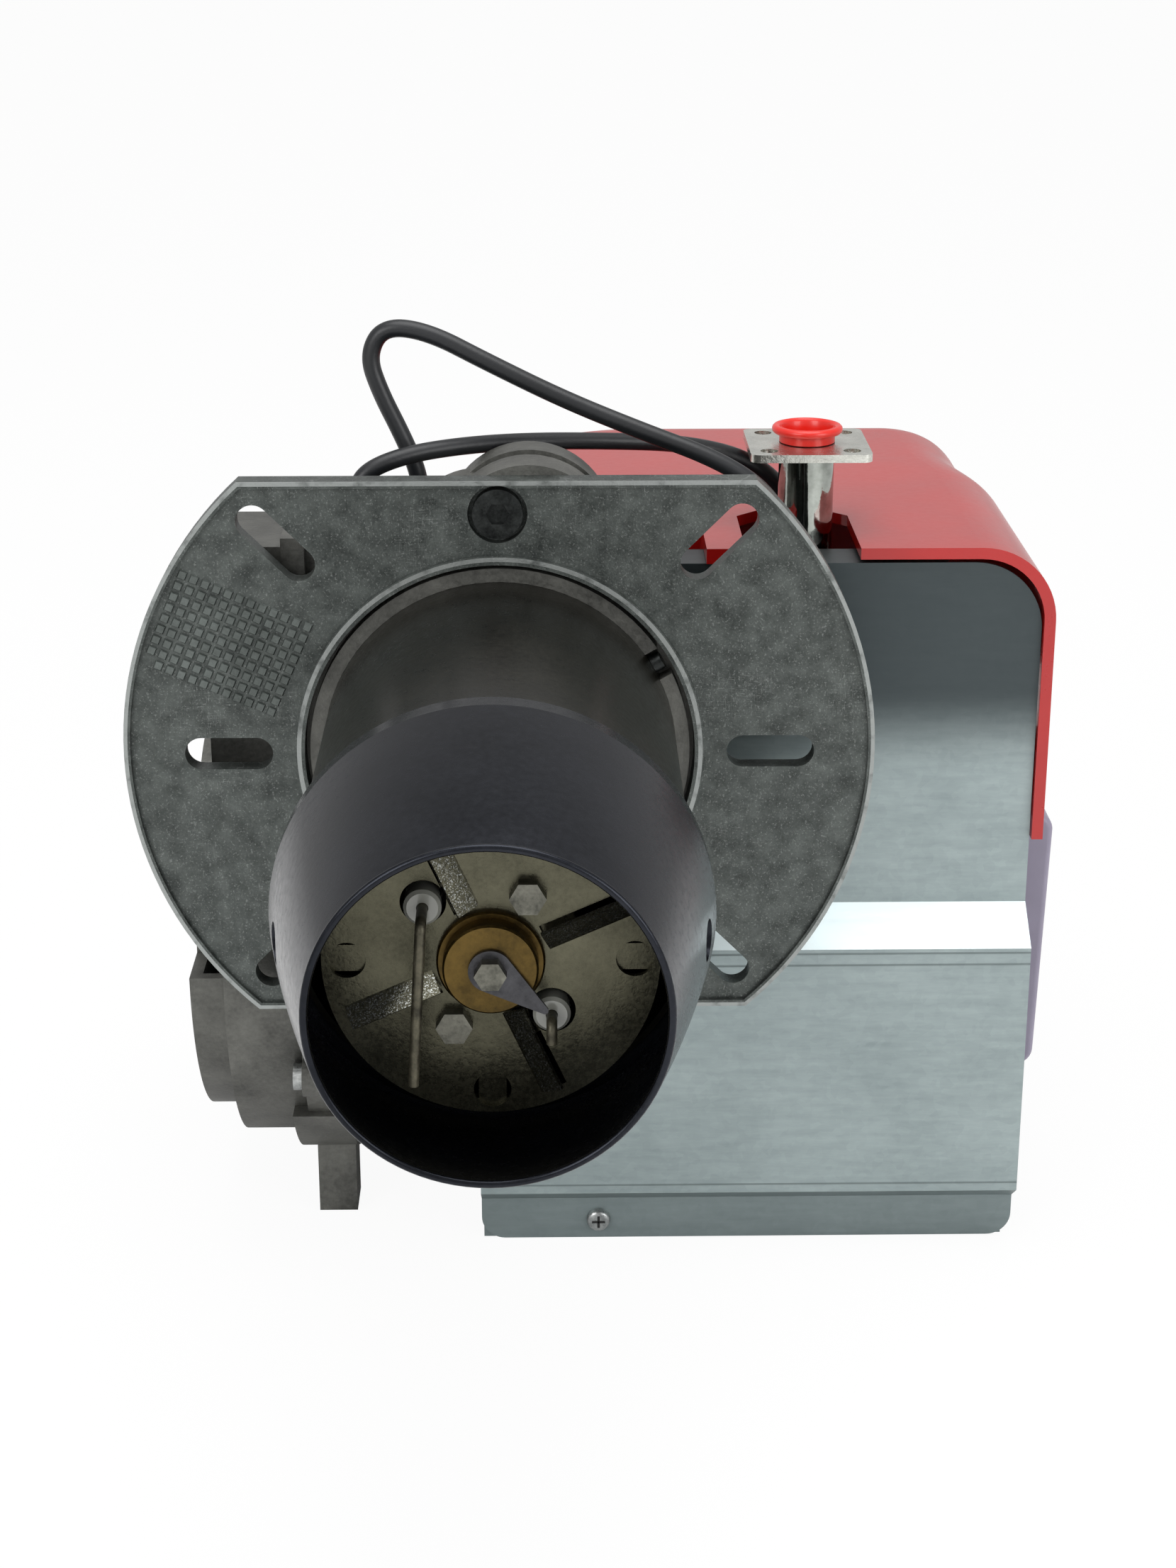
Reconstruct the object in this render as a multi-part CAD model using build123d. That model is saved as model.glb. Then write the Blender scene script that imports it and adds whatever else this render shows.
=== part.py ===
from build123d import *
import os
from math import cos, pi, radians, sin, tan

# Forced-draught gas burner. Millimetres, +Z up, +X to the right when the burner is seen from the boiler.
# Origin: the blast tube's axis at the boiler side of the mounting flange. The tube points along -Y.

# ---- fits shared by every piece ----
FIT = 0.05              # radial clearance of a part that is fixed in its hole
RUN = 0.06              # radial clearance of a shaft that turns
GAP = 0.3               # air between neighbours that don't touch
AIR = 0.4               # air between pieces that move past each other

# ---- mounting flange ----
FLANGE_R = 113.0
FLANGE_HALF_H = 83.8    # half the height between the flats
FLANGE_T = 8.0
RIM_W = 2.0             # raised rim along the outline
FACE_RECESS = 1.5
BORE_RING_W = 2.8
SLOT_W = 10.0
SLOT_L = 26.5
SLOT_X = 81.6           # centre of the two level slots
DIAGONAL_SLOT_R = 92.2
DIAGONAL_SLOT_L = 28.3
SCREW_TO_BORE = 15.1    # screw axis outside the bore
FLANGE_SCREW_R = 4.0
FLANGE_SCREW_L = 18.0
FLANGE_HEAD_R = 7.4
FLANGE_HEAD_H = 5.0
COUNTERBORE_R = 8.8
SOCKET_AF = 6.0

# ---- blast tube and flame cone ----
TUBE_R = 53.0
TUBE_WALL = 1.5
TUBE_FRONT = -124.0
TUBE_BACK = 20.0
CONE_STEP = 4.5         # the cone's back stands outside the tube by this
CONE_WALL = 1.8
CONE_BACK = -119.7
CONE_SHOULDER = -126.0
CONE_MID = -161.0
CONE_TIP = -188.2
SIGHT_HOLE_R = 5.5
SIGHT_HOLE_Y = -142.0

# ---- combustion head ----
DISC_INSET = 2.4        # disc inside the cone's mouth
DISC_T = 1.5
DISC_FRONT = -152.9
DISC_HOLE_R = 4.75
DISC_HOLE_INSET = 6.3   # hole centres inside the disc's edge
VANE_W = 6.5
VANE_INSET = 3.5        # vane ends inside the disc's edge
VANE_T = 1.0
VANE_START_R = 14.5
VANE_TURN = 24.0        # turn of each vane out of the radial direction
VANE_TILT = 30.0
HEAD_BOLT_AT = (9.3, 17.3)
HEAD_BOLT_R = 2.5
HEAD_BOLT_AF = 8.0
HEAD_BOLT_H = 3.5
HEAD_BOLT_L = 9.0
SPIDER_T = 2.0
SPIDER_PLATE_R = 23.5
SPIDER_HUB_L = 14.0
SPIDER_ARM_W = 7.0
SPIDER_TAB_L = 9.0
LANCE_R = 10.0
LANCE_WALL = 2.0
NOZZLE_R = 11.85
NOZZLE_FRONT = -159.5
NOZZLE_L = 26.0
NOZZLE_CAP_T = 6.0
NOZZLE_COLLAR_R = 13.5
NOZZLE_COLLAR_L = 1.8
GAS_PORT_R = 1.6
GAS_PORTS = 8
SPARK_PLATE_T = 1.0
SPARK_PLATE_R = 5.5
SPARK_POINT = (13.3, -10.6)
SPARK_POINT_R = 0.9
NOZZLE_BOLT_R = 2.0
NOZZLE_BOLT_AF = 7.0
NOZZLE_BOLT_H = 3.4
CERAMIC_R = 4.7
CERAMIC_BORE_R = 1.5
CERAMIC_BACK = -62.0
ROD_R = 1.35
ROD_TAIL = 7.0
IONISATION_AT = (-16.5, 15.5)
IONISATION_FRONT = -157.0
IONISATION_HOLE_R = 5.75
IONISATION_TIP = (-19.0, -170.0, -26.0)
IONISATION_BEND_Y = -167.0
IGNITION_AT = (15.0, -13.8)
IGNITION_FRONT = -156.0
IGNITION_HOLE_R = 6.0
IGNITION_TIP_DROP = 5.0
IGNITION_BEND_Y = -162.0
ROD_BEND_R = 2.5
CLAMP_Y = -112.0
CLAMP_T = 8.0
CLAMP_WALL = 3.0

# ---- body casting: air chamber and fan casing ----
CAST_WALL = 4.0
CHAMBER_BACK = 60.0
NOSE_STEP = 4.2         # collar outside the tube
NOSE_AIR = 1.5          # air between the collar and the flange's bore
NOSE_FRONT = 2.0
NOSE_BACK = 24.0
NOSE_NOTCH_W = 9.0
NOSE_NOTCH_ANGLE = 30.0
TUBE_SCREW_R = 1.5
TUBE_SCREW_HEAD_R = 2.8
TUBE_SCREW_Y = 5.0
DOME_X = 9.0
DOME_R = 25.8
DOME_BACK = 40.0
DOME_GROOVE = 2.2
SHOULDER_X = -6.0
SHOULDER_R = 23.0
SHOULDER_BACK = 34.0
FAN_Y = 105.0
FAN_Z = -85.0
VOLUTE_START_R = 63.0   # inner radius at the tongue
VOLUTE_END_R = 84.0     # inner radius where the spiral runs into the duct
VOLUTE_TURN = 315.0
DUCT_BACK = 56.0
DUCT_DROP = 5.2         # inside of the duct's top below the top of the air chamber
CASING_LEFT = -101.0
CASING_STEP = -89.0
CASING_SPLIT = -61.5
CASING_RIGHT = -9.0
STEP_INSET = 9.0
SEAM_W = 3.5
SEAM_H = 3.5
LUG_R = 6.5
LUG_OUT = 9.2           # screw axis outside the spiral's inner wall
LUG_ANGLES = (100, 40, -20, -75, -160)
CASE_SCREW_R = 2.5
CASE_SCREW_HEAD_R = 4.4
CASE_SCREW_HEAD_H = 3.0
PAD_X = (-70.0, -51.0)
PAD_Z = (-167.0, -136.0)
PAD_H = 6.0
FOOT_X = (-65.0, -52.0)
FOOT_Y = (58.0, 74.0)
FOOT_Z = -187.0

# ---- fan, shaft and motor ----
FAN_R = 57.0
FAN_FRONT = -83.0
FAN_BACK = -30.0
FAN_PLATE_T = 1.5
FAN_RING_W = 7.0
BLADES = 28
BLADE_IN_R = 46.0
BLADE_T = 1.0
BLADE_SWEEP = 38.0      # degrees the blade leans forward
HUB_R = 10.0
HUB_L = 22.0
SHAFT_R = 4.0
SHAFT_END = 60.0
SPIGOT_R = 20.0
MOTOR_FLANGE_R = 47.0
MOTOR_FLANGE_T = 4.0
MOTOR_R = 42.0
MOTOR_END = 92.0
MOTOR_FINS = 18
FIN_H = 2.5
FIN_W = 2.5
CAP_L = 12.0
CAPACITOR_R = 15.0
CAPACITOR_X = (12.0, 68.0)
SADDLE_X = (24.0, 56.0)

# ---- air intake ----
INTAKE_R = 42.0
INTAKE_WALL = 3.0
INTAKE_DEPTH = 12.0
INTAKE_PLATE_X = -98.6
INTAKE_PLATE_T = 1.5
SECTORS = 4
SECTOR_ANGLE = 44.0
SECTOR_IN_R = 11.0
SECTOR_OUT_R = 34.5
SHUTTER_R = 40.6
SHUTTER_T = 1.2
SHUTTER_TRAVEL = 45.0
SHUTTER_HUB_R = 3.0
TAB_CIRCLE = 38.0
TAB_R = 1.3
TAB_START = 42.0        # angle of the tab with the shutter open
TAB_PROUD = 2.0
PIVOT_HEAD_R = 6.0

# ---- gas line ----
PIPE_X = 97.0
PIPE_Y = 72.0
PIPE_R = 8.8
PIPE_WALL = 1.6
PIPE_BEND_R = 25.0
GAS_FLANGE_SIDE = 38.0
GAS_FLANGE_T = 2.5
GAS_FLANGE_TOP = 79.0
GAS_BOLT_SPACING = 26.0
GAS_BOLT_HOLE_R = 2.75
MANIFOLD_FLANGE_R = 24.0
MANIFOLD_FLANGE_T = 6.0
MANIFOLD_R = 14.0
MANIFOLD_BACK = 86.0
MANIFOLD_SOCKET_X = 32.0
MANIFOLD_STOP_X = 20.0
GAS_PASSAGE_R = 7.5
MANIFOLD_SCREW_R = 2.0
MANIFOLD_SCREW_HEAD_R = 3.6
MANIFOLD_SCREW_CIRCLE = 20.0
MANIFOLD_SCREW_TURN = 62.0
PLUG_NECK_R = 8.8
PLUG_COLLAR_R = 11.2
PLUG_NECK_H = 6.2
PLUG_COLLAR_H = 2.6
PLUG_SPIGOT_L = 14.0
PLUG_CUP_R = 8.0
PLUG_WALL = 1.6

# ---- sheet metal ----
SHEET = 1.2
PANEL_X = (-8.7, 170.0)
PANEL_Y = 45.0
PANEL_TOP = 46.6
PANEL_CORNER_R = 22.0
PANEL_RETURN = 17.0
PANEL_RETURN_END = 140.0
JOGGLE_TOP = -67.8
JOGGLE_BOTTOM = -78.1
LOWER_Y = 30.0
LIP_TOP = -166.0
LIP_Y = 38.0
LIP_SLOPE = 6.0
PANEL_BOTTOM = -187.0
LIP_CORNER_R = 8.0
PANEL_SCREW_AT = (30.6, -180.0)
PANEL_SCREW_R = 2.0
PANEL_SCREW_HEAD_R = 4.0
PANEL_SCREW_HEAD_H = 2.4
BASE_Z = -170.0
BASE_X = (-8.0, 167.0)
BASE_BACK = 205.0
TONGUE_X = (50.0, 110.0)
TONGUE_TOP = -135.0

# ---- cover ----
COVER_WALL = 3.6
COVER_FRONT = 43.0
COVER_BACK = 235.0
COVER_TOP = 51.8
COVER_RIGHT = 174.0
COVER_LEFT = -12.0
COVER_WAIST = 6.5       # the right side draws in by this towards the back
WAIST_Y = (140.0, 186.0)
COVER_EDGE_R = 24.0
COVER_CORNER_R = 30.0
COVER_BIG_CORNER_R = 60.0
COVER_SKIRT = -160.0    # lower edge at the back
COVER_SIDE = -45.4      # lower edge above the control box
COVER_LEFT_EDGE = 18.0  # lower edge above the gas manifold
SKIRT_RIGHT = 134.0
STEP_X = 64.0
STEP_Y = 80.0
STEP_LIP = 10.0
NOTCH_X = (76.0, 112.0)
NOTCH_Y = 91.0
NOTCH_CHAMFER = 7.0
COVER_SCREW_R = 2.5
COVER_SCREW_AT = (80.0, -148.0)
COVER_SCREW_HEAD_R = 6.0
COVER_SCREW_HEAD_H = 3.0

# ---- electrical parts ----
BRACKET_X = 137.0
BRACKET_Y = (62.0, 204.0)
BRACKET_TOP = -50.0
BOX_Y = (75.0, 175.0)
BOX_Z = (-142.0, -49.0)
BOX_BASE_T = 12.0
BOX_RIGHT = 184.0
BOX_DRAFT = 2.5
BOX_EDGE_R = 4.0
BUTTON_R = 6.0
BUTTON_L = 9.0
BUTTON_PROUD = 3.0
BUTTON_AT = (112.0, -72.0)
DIMPLE_R = 11.0
DIMPLE_DEPTH = 2.0
SOCKET_SIZE = (21.0, 24.0, 46.0)
SOCKET_AT = (190.0, -115.0)
SOCKET_PINS = 7
TRANSFORMER_X = (20.0, 90.0)
TRANSFORMER_Y = (166.0, 212.0)
TRANSFORMER_H = 46.0
TERMINAL_R = 6.0
SHELF_Z = 12.0
SHELF_X = (27.0, 60.0)
SHELF_BACK = 128.0
SWITCH_X = (64.0, 100.0)
SWITCH_Y = (81.0, 126.0)
SWITCH_H = 16.0
SWITCH_PORT_R = 3.0

# ---- leads and their glands ----
LEAD_R = 2.7
GLAND_R = 5.5
GLAND_H = 7.0
SWITCH_GLAND = (93.0, 86.5)
PANEL_GLAND = (88.0, 31.0, 40.0)
BACK_GLAND = (-24.0, 42.0)
FRONT_GLAND = (-43.0, 26.0)
GLAND_TAB_W = 20.0
GLAND_TAB_DROP = 14.0

# ---- sizes that follow from the ones above ----
TUBE_IN_R = TUBE_R - TUBE_WALL
CONE_R = TUBE_R + CONE_STEP
CONE_MID_R = CONE_R - 6.6
CONE_TIP_R = CONE_R - 13.1
DISC_R = CONE_TIP_R - DISC_INSET
DISC_HOLE_CIRCLE = DISC_R - DISC_HOLE_INSET
VANE_L = DISC_R - VANE_START_R - VANE_INSET
NOSE_BORE_R = TUBE_R + FIT
NOSE_R = TUBE_R + NOSE_STEP
CHAMBER_R = NOSE_R + CAST_WALL
DUCT_TOP = CHAMBER_R - DUCT_DROP
FLANGE_BORE_R = NOSE_R + NOSE_AIR
FLANGE_SCREW_Z = FLANGE_BORE_R + SCREW_TO_BORE
DOME_AT = (DOME_X, CHAMBER_R - 0.2)
SHOULDER_AT = (SHOULDER_X, CHAMBER_R - 4.2)
DISC_BACK = DISC_FRONT + DISC_T
LANCE_SOCKET_R = LANCE_R + FIT
SEAM_OUT = CAST_WALL + SEAM_H
CASING_TOP = DUCT_TOP + CAST_WALL
DUCT_FRONT = FAN_Y - VOLUTE_END_R
MOTOR_FACE = CASING_RIGHT + MOTOR_FLANGE_T
PIPE_IN_R = PIPE_R - PIPE_WALL
SHUTTER_X = INTAKE_PLATE_X + INTAKE_PLATE_T + AIR
SWITCH_TOP = SHELF_Z + SHEET + SWITCH_H


# ---- helpers ----
def along_x(sketch, x0, x1):
    """Extrude a sketch drawn in (Y, Z) from x0 to x1."""
    return Pos(x0, 0, 0) * extrude(Plane.YZ * sketch, amount=x1 - x0)


def along_y(sketch, y0, y1):
    """Extrude a sketch drawn in (X, Z) from y0 to y1."""
    return Pos(0, y1, 0) * extrude(Plane.XZ * sketch, amount=y1 - y0)


def along_z(sketch, z0, z1):
    """Extrude a sketch drawn in (X, Y) from z0 to z1."""
    return Pos(0, 0, z0) * extrude(sketch, amount=z1 - z0)


def rod_x(r, y, z, x0, x1):
    return along_x(Pos(y, z) * Circle(r), x0, x1)


def rod_y(r, x, z, y0, y1):
    return along_y(Pos(x, z) * Circle(r), y0, y1)


def rod_z(r, x, y, z0, z1):
    return along_z(Pos(x, y) * Circle(r), z0, z1)


def block(xs, ys, zs):
    """A box between two X, two Y and two Z values."""
    size = [b - a for a, b in (xs, ys, zs)]
    return Pos(xs[0], ys[0], zs[0]) * Box(*size, align=(Align.MIN, Align.MIN, Align.MIN))


def hexagon(across_flats):
    return RegularPolygon(across_flats / 3 ** 0.5, 6)


def polar(r, angle):
    return r * cos(radians(angle)), r * sin(radians(angle))


def revolve_y(*edges):
    """Turn a closed outline drawn as (radius, y) about the tube's axis."""
    return revolve(make_face(Wire(edges)), axis=Axis.Y)


def ring_y(r_out, r_in, y0, y1):
    return along_y(Circle(r_out) - Circle(r_in), y0, y1)


def joined(solids):
    total = solids[0]
    for solid in solids[1:]:
        total = total + solid
    return total


# ---- mounting flange ----
def flange_outline(inset=0.0):
    edge = 2 * (FLANGE_HALF_H - inset)
    return Circle(FLANGE_R - inset) & Rectangle(3 * FLANGE_R, edge)


def flange_slots():
    """Two level slots and four slots that run out along the diagonals."""
    slots = [Pos(side * SLOT_X, 0) * SlotOverall(SLOT_L, SLOT_W) for side in (-1, 1)]
    for turn in (45, 135, 225, 315):
        slots.append(Rot(0, 0, turn) * Pos(DIAGONAL_SLOT_R, 0) * SlotOverall(DIAGONAL_SLOT_L, SLOT_W))
    return slots


def mounting_flange():
    plate = along_y(flange_outline(), 0, FLANGE_T)
    plate -= along_y(flange_outline(RIM_W) - Circle(FLANGE_BORE_R + BORE_RING_W), 0, FACE_RECESS)
    for cut in flange_slots() + [Circle(FLANGE_BORE_R)]:
        plate -= along_y(cut, -1, FLANGE_T + 1)
    plate -= rod_y(FLANGE_SCREW_R + FIT, 0, FLANGE_SCREW_Z, -1, FLANGE_T + 1)
    return plate - rod_y(COUNTERBORE_R, 0, FLANGE_SCREW_Z, -1, FLANGE_HEAD_H)


def socket_screw(r, length, head_r, head_h):
    """A socket-head screw along +Y with the underside of its head at y = 0."""
    screw = rod_y(head_r, 0, 0, -head_h, 0) + rod_y(r, 0, 0, 0, length)
    return screw - along_y(hexagon(SOCKET_AF), -head_h - 1, -head_h / 2)


def flange_screw():
    screw = socket_screw(FLANGE_SCREW_R, FLANGE_SCREW_L, FLANGE_HEAD_R, FLANGE_HEAD_H - 1)
    return Pos(0, FLANGE_HEAD_H, FLANGE_SCREW_Z) * screw


# ---- blast tube and flame cone ----
def blast_tube():
    tube = ring_y(TUBE_R, TUBE_IN_R, TUBE_FRONT, TUBE_BACK)
    return tube - radial_rod(TUBE_SCREW_R + FIT, TUBE_SCREW_Y, TUBE_IN_R - 2, TUBE_R + 2)


def radial_rod(r, y, r0, r1):
    """A rod that points out from the tube's axis at the collar's notch."""
    rod = rod_x(r, y, 0, r0, r1)
    return Rot(0, -NOSE_NOTCH_ANGLE, 0) * rod


def tube_screw():
    """Screw through the blast tube's end, set in the notch of the body's collar."""
    shank = radial_rod(TUBE_SCREW_R, TUBE_SCREW_Y, TUBE_IN_R - 1, TUBE_R + FIT)
    head = radial_rod(TUBE_SCREW_HEAD_R, TUBE_SCREW_Y, TUBE_R + FIT, NOSE_R - 1)
    return shank + head


def flame_cone():
    """Sleeve over the tube's end that draws in along an arc to the flame opening."""
    seat = TUBE_R + FIT
    inner = CONE_R - CONE_WALL
    outside = ThreePointArc((CONE_R, CONE_SHOULDER), (CONE_MID_R, CONE_MID), (CONE_TIP_R, CONE_TIP))
    inside = ThreePointArc(
        (inner, CONE_SHOULDER), (CONE_MID_R - CONE_WALL, CONE_MID), (CONE_TIP_R - CONE_WALL, CONE_TIP))
    lip_front = CONE_BACK - CONE_WALL
    walls = [
        Line((seat, CONE_BACK), (CONE_R, CONE_BACK)),
        Line((CONE_R, CONE_BACK), (CONE_R, CONE_SHOULDER)),
        outside,
        Line((CONE_TIP_R, CONE_TIP), (CONE_TIP_R - CONE_WALL, CONE_TIP)),
        inside,
        Line((inner, CONE_SHOULDER), (inner, lip_front)),
        Line((inner, lip_front), (seat, lip_front)),
        Line((seat, lip_front), (seat, CONE_BACK)),
    ]
    cone = revolve_y(*walls)
    return cone - rod_x(SIGHT_HOLE_R, SIGHT_HOLE_Y, 0, -2 * CONE_R, 2 * CONE_R)


# ---- combustion head ----
def vane(turn):
    """One swirl vane, hinged out of the disc's plane along its long side."""
    blade = Pos(0, -VANE_W / 2, 0) * Box(VANE_L, VANE_W, VANE_T, align=(Align.MIN, Align.MIN, Align.MIN))
    blade = Pos(0, -VANE_W / 2, 0) * Rot(VANE_TILT, 0, 0) * Pos(0, VANE_W / 2, 0) * blade
    blade = Rot(90, 0, 0) * Pos(VANE_START_R, 0, 0) * blade
    return Pos(0, DISC_FRONT + VANE_T, 0) * Rot(0, -turn, 0) * blade


def vane_window(turn):
    window = Pos(VANE_START_R + VANE_L / 2, 0) * Rectangle(VANE_L, VANE_W)
    return Rot(0, 0, turn) * window


def disc_holes():
    holes = [Pos(*polar(DISC_HOLE_CIRCLE, turn)) * Circle(DISC_HOLE_R) for turn in (0, 90, 180, 270)]
    holes.append(Circle(NOZZLE_R + FIT))
    holes.append(Pos(*IONISATION_AT) * Circle(IONISATION_HOLE_R))
    holes.append(Pos(*IGNITION_AT) * Circle(IGNITION_HOLE_R))
    return holes + bolt_holes()


def bolt_holes():
    x, z = HEAD_BOLT_AT
    return [Pos(side * x, side * z) * Circle(HEAD_BOLT_R + FIT) for side in (1, -1)]


def diffuser_disc():
    disc = along_y(Circle(DISC_R), DISC_FRONT, DISC_BACK)
    turns = [VANE_TURN + 90 * k for k in range(4)]
    for hole in disc_holes():
        disc -= along_y(hole, DISC_FRONT - 1, DISC_BACK + 1)
    for turn in turns:
        disc -= along_y(vane_window(turn), DISC_FRONT - 1, DISC_BACK + 1)
    return joined([disc] + [vane(turn) for turn in turns])


def head_spider():
    """Hub on the gas lance with four arms behind the diffuser disc."""
    y0 = DISC_BACK
    plate = Circle(SPIDER_PLATE_R)
    for turn in (0, 90):
        plate += Rot(0, 0, turn) * Rectangle(2 * (DISC_R - 1), SPIDER_ARM_W)
    spider = along_y(plate, y0, y0 + SPIDER_T)
    spider += rod_y(LANCE_R + CLAMP_WALL + 2, 0, 0, y0, y0 + SPIDER_HUB_L)
    for turn in range(4):
        spider += Rot(0, 90 * turn, 0) * block(
            (DISC_R - 1 - SPIDER_T, DISC_R - 1), (y0, y0 + SPIDER_TAB_L), (-SPIDER_ARM_W / 2, SPIDER_ARM_W / 2))
    spider -= rod_y(NOZZLE_R + FIT, 0, 0, y0 - 1, y0 + SPIDER_HUB_L + 1)
    for x, z, r in (IONISATION_AT + (IONISATION_HOLE_R,), IGNITION_AT + (IGNITION_HOLE_R,)):
        spider -= rod_y(r, x, z, y0 - 1, y0 + SPIDER_HUB_L + 1)
    for hole in bolt_holes():
        spider -= along_y(hole, y0 - 1, y0 + SPIDER_HUB_L)
    return spider


def disc_bolts():
    x, z = HEAD_BOLT_AT
    bolts = []
    for side in (1, -1):
        head = along_y(Pos(side * x, side * z) * hexagon(HEAD_BOLT_AF), DISC_FRONT - HEAD_BOLT_H, DISC_FRONT)
        bolts.append(head + rod_y(HEAD_BOLT_R, side * x, side * z, DISC_FRONT, DISC_FRONT + HEAD_BOLT_L))
    return Compound(children=bolts)


def gas_nozzle():
    """Brass cap with a ring of gas ports, pushed on the end of the lance."""
    back = NOZZLE_FRONT + NOZZLE_L
    nozzle = rod_y(NOZZLE_R, 0, 0, NOZZLE_FRONT, back)
    nozzle += rod_y(NOZZLE_COLLAR_R, 0, 0, DISC_FRONT - NOZZLE_COLLAR_L, DISC_FRONT)
    nozzle -= rod_y(LANCE_SOCKET_R, 0, 0, NOZZLE_FRONT + NOZZLE_CAP_T, back + 1)
    nozzle -= rod_y(NOZZLE_BOLT_R + FIT, 0, 0, NOZZLE_FRONT - 1, NOZZLE_FRONT + NOZZLE_CAP_T + 1)
    for k in range(GAS_PORTS):
        x, z = polar(LANCE_R - LANCE_WALL, 360 * k / GAS_PORTS + 22)
        nozzle -= rod_y(GAS_PORT_R, x, z, NOZZLE_FRONT - 1, NOZZLE_FRONT + NOZZLE_CAP_T + 1)
    return nozzle


def spark_plate():
    """Drop-shaped plate whose point faces the ignition electrode."""
    outline = make_hull((Circle(SPARK_PLATE_R) + Pos(*SPARK_POINT) * Circle(SPARK_POINT_R)).edges())
    outline -= Circle(NOZZLE_BOLT_R + FIT)
    return along_y(outline, NOZZLE_FRONT - SPARK_PLATE_T, NOZZLE_FRONT)


def nozzle_bolt():
    seat = NOZZLE_FRONT - SPARK_PLATE_T
    head = along_y(hexagon(NOZZLE_BOLT_AF), seat - NOZZLE_BOLT_H, seat)
    return head + rod_y(NOZZLE_BOLT_R, 0, 0, seat, NOZZLE_FRONT + NOZZLE_CAP_T)


def gas_lance():
    y0 = NOZZLE_FRONT + NOZZLE_CAP_T + GAP
    return ring_y(LANCE_R, LANCE_R - LANCE_WALL, y0, CHAMBER_BACK + MANIFOLD_FLANGE_T / 2)


def insulator(at, front):
    body = rod_y(CERAMIC_R, at[0], at[1], front, CERAMIC_BACK)
    body = chamfer(body.edges().sort_by(Axis.Y)[0], 0.8)
    return body - rod_y(CERAMIC_BORE_R, at[0], at[1], front - 1, CERAMIC_BACK + 1)


def bent_rod(at, bend_y, tip):
    """Electrode rod through its insulator, then bent across the disc."""
    path = FilletPolyline((at[0], CERAMIC_BACK + ROD_TAIL, at[1]), (at[0], bend_y, at[1]), tip, radius=ROD_BEND_R)
    section = Plane(path @ 0, z_dir=path % 0) * Circle(ROD_R)
    return sweep(section, path=path)


def ignition_rod():
    x, z = IGNITION_AT
    return bent_rod(IGNITION_AT, IGNITION_BEND_Y, (x, IGNITION_BEND_Y, z - IGNITION_TIP_DROP))


def electrode_clamp():
    """Block on the lance that holds both insulators."""
    holds = [(0, 0, LANCE_R), IONISATION_AT + (CERAMIC_R,), IGNITION_AT + (CERAMIC_R,)]
    rims = joined([Pos(x, z) * Circle(r + CLAMP_WALL) for x, z, r in holds])
    outline = make_hull(rims.edges())
    clamp = along_y(outline, CLAMP_Y, CLAMP_Y + CLAMP_T)
    for x, z, r in holds:
        clamp -= rod_y(r + FIT, x, z, CLAMP_Y - 1, CLAMP_Y + CLAMP_T + 1)
    return clamp


# ---- body casting ----
def volute_sketch(offset):
    """Spiral that opens from the tongue to the duct, drawn in (Y, Z) and grown by an offset."""
    steps = 9
    points = []
    for k in range(steps + 1):
        share = k / steps
        r = VOLUTE_START_R + (VOLUTE_END_R - VOLUTE_START_R) * share + offset
        y, z = polar(r, VOLUTE_TURN - 180 - VOLUTE_TURN * share)
        points.append((FAN_Y + y, FAN_Z + z))
    centre = (FAN_Y, FAN_Z)
    outline = make_face(Wire([Spline(points), Line(points[-1], centre), Line(centre, points[0])]))
    return outline + Pos(FAN_Y, FAN_Z) * Circle(VOLUTE_START_R + offset)


def casing_sketch(offset):
    """The spiral with the upright duct in front of it."""
    low, high = DUCT_FRONT - offset, DUCT_BACK + offset
    top = DUCT_TOP + offset
    duct = Pos((low + high) / 2, (FAN_Z + top) / 2) * Rectangle(high - low, top - FAN_Z)
    return volute_sketch(offset) + duct


def dome():
    """Boss for the flange screw, with two steps, on top of the air chamber."""
    boss = rod_y(DOME_R, *DOME_AT, FLANGE_T, DOME_BACK)
    boss -= ring_y(DOME_R + 1, DOME_R - DOME_GROOVE, 22, 28).moved(Location((DOME_AT[0], 0, DOME_AT[1])))
    boss += rod_y(SHOULDER_R, *SHOULDER_AT, FLANGE_T, SHOULDER_BACK)
    return boss


def lug_places():
    """(y, z) of the screws along the seam between the two casing halves."""
    places = []
    for angle in LUG_ANGLES:
        share = (VOLUTE_TURN - 180 - angle) / VOLUTE_TURN
        r = VOLUTE_START_R + (VOLUTE_END_R - VOLUTE_START_R) * share + LUG_OUT
        y, z = polar(r, angle)
        places.append((FAN_Y + y, FAN_Z + z))
    return places


def casing_outside():
    seam = (CASING_SPLIT - SEAM_W, CASING_SPLIT + SEAM_W)
    shape = along_x(casing_sketch(CAST_WALL), CASING_STEP, CASING_RIGHT)
    shape += along_x(volute_sketch(CAST_WALL - STEP_INSET), CASING_LEFT, CASING_STEP)
    shape += along_x(casing_sketch(SEAM_OUT), *seam)
    pad = along_x(casing_sketch(CAST_WALL + PAD_H), *PAD_X)
    shape += pad & block(PAD_X, (0, FAN_Y), PAD_Z)
    shape += block(FOOT_X, FOOT_Y, (FOOT_Z, FAN_Z - VOLUTE_START_R - 2 * CAST_WALL))
    for y, z in lug_places():
        shape += rod_x(LUG_R, y, z, *seam)
    shape += rod_y(CHAMBER_R, 0, 0, FLANGE_T, CHAMBER_BACK)
    return shape + dome()


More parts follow.
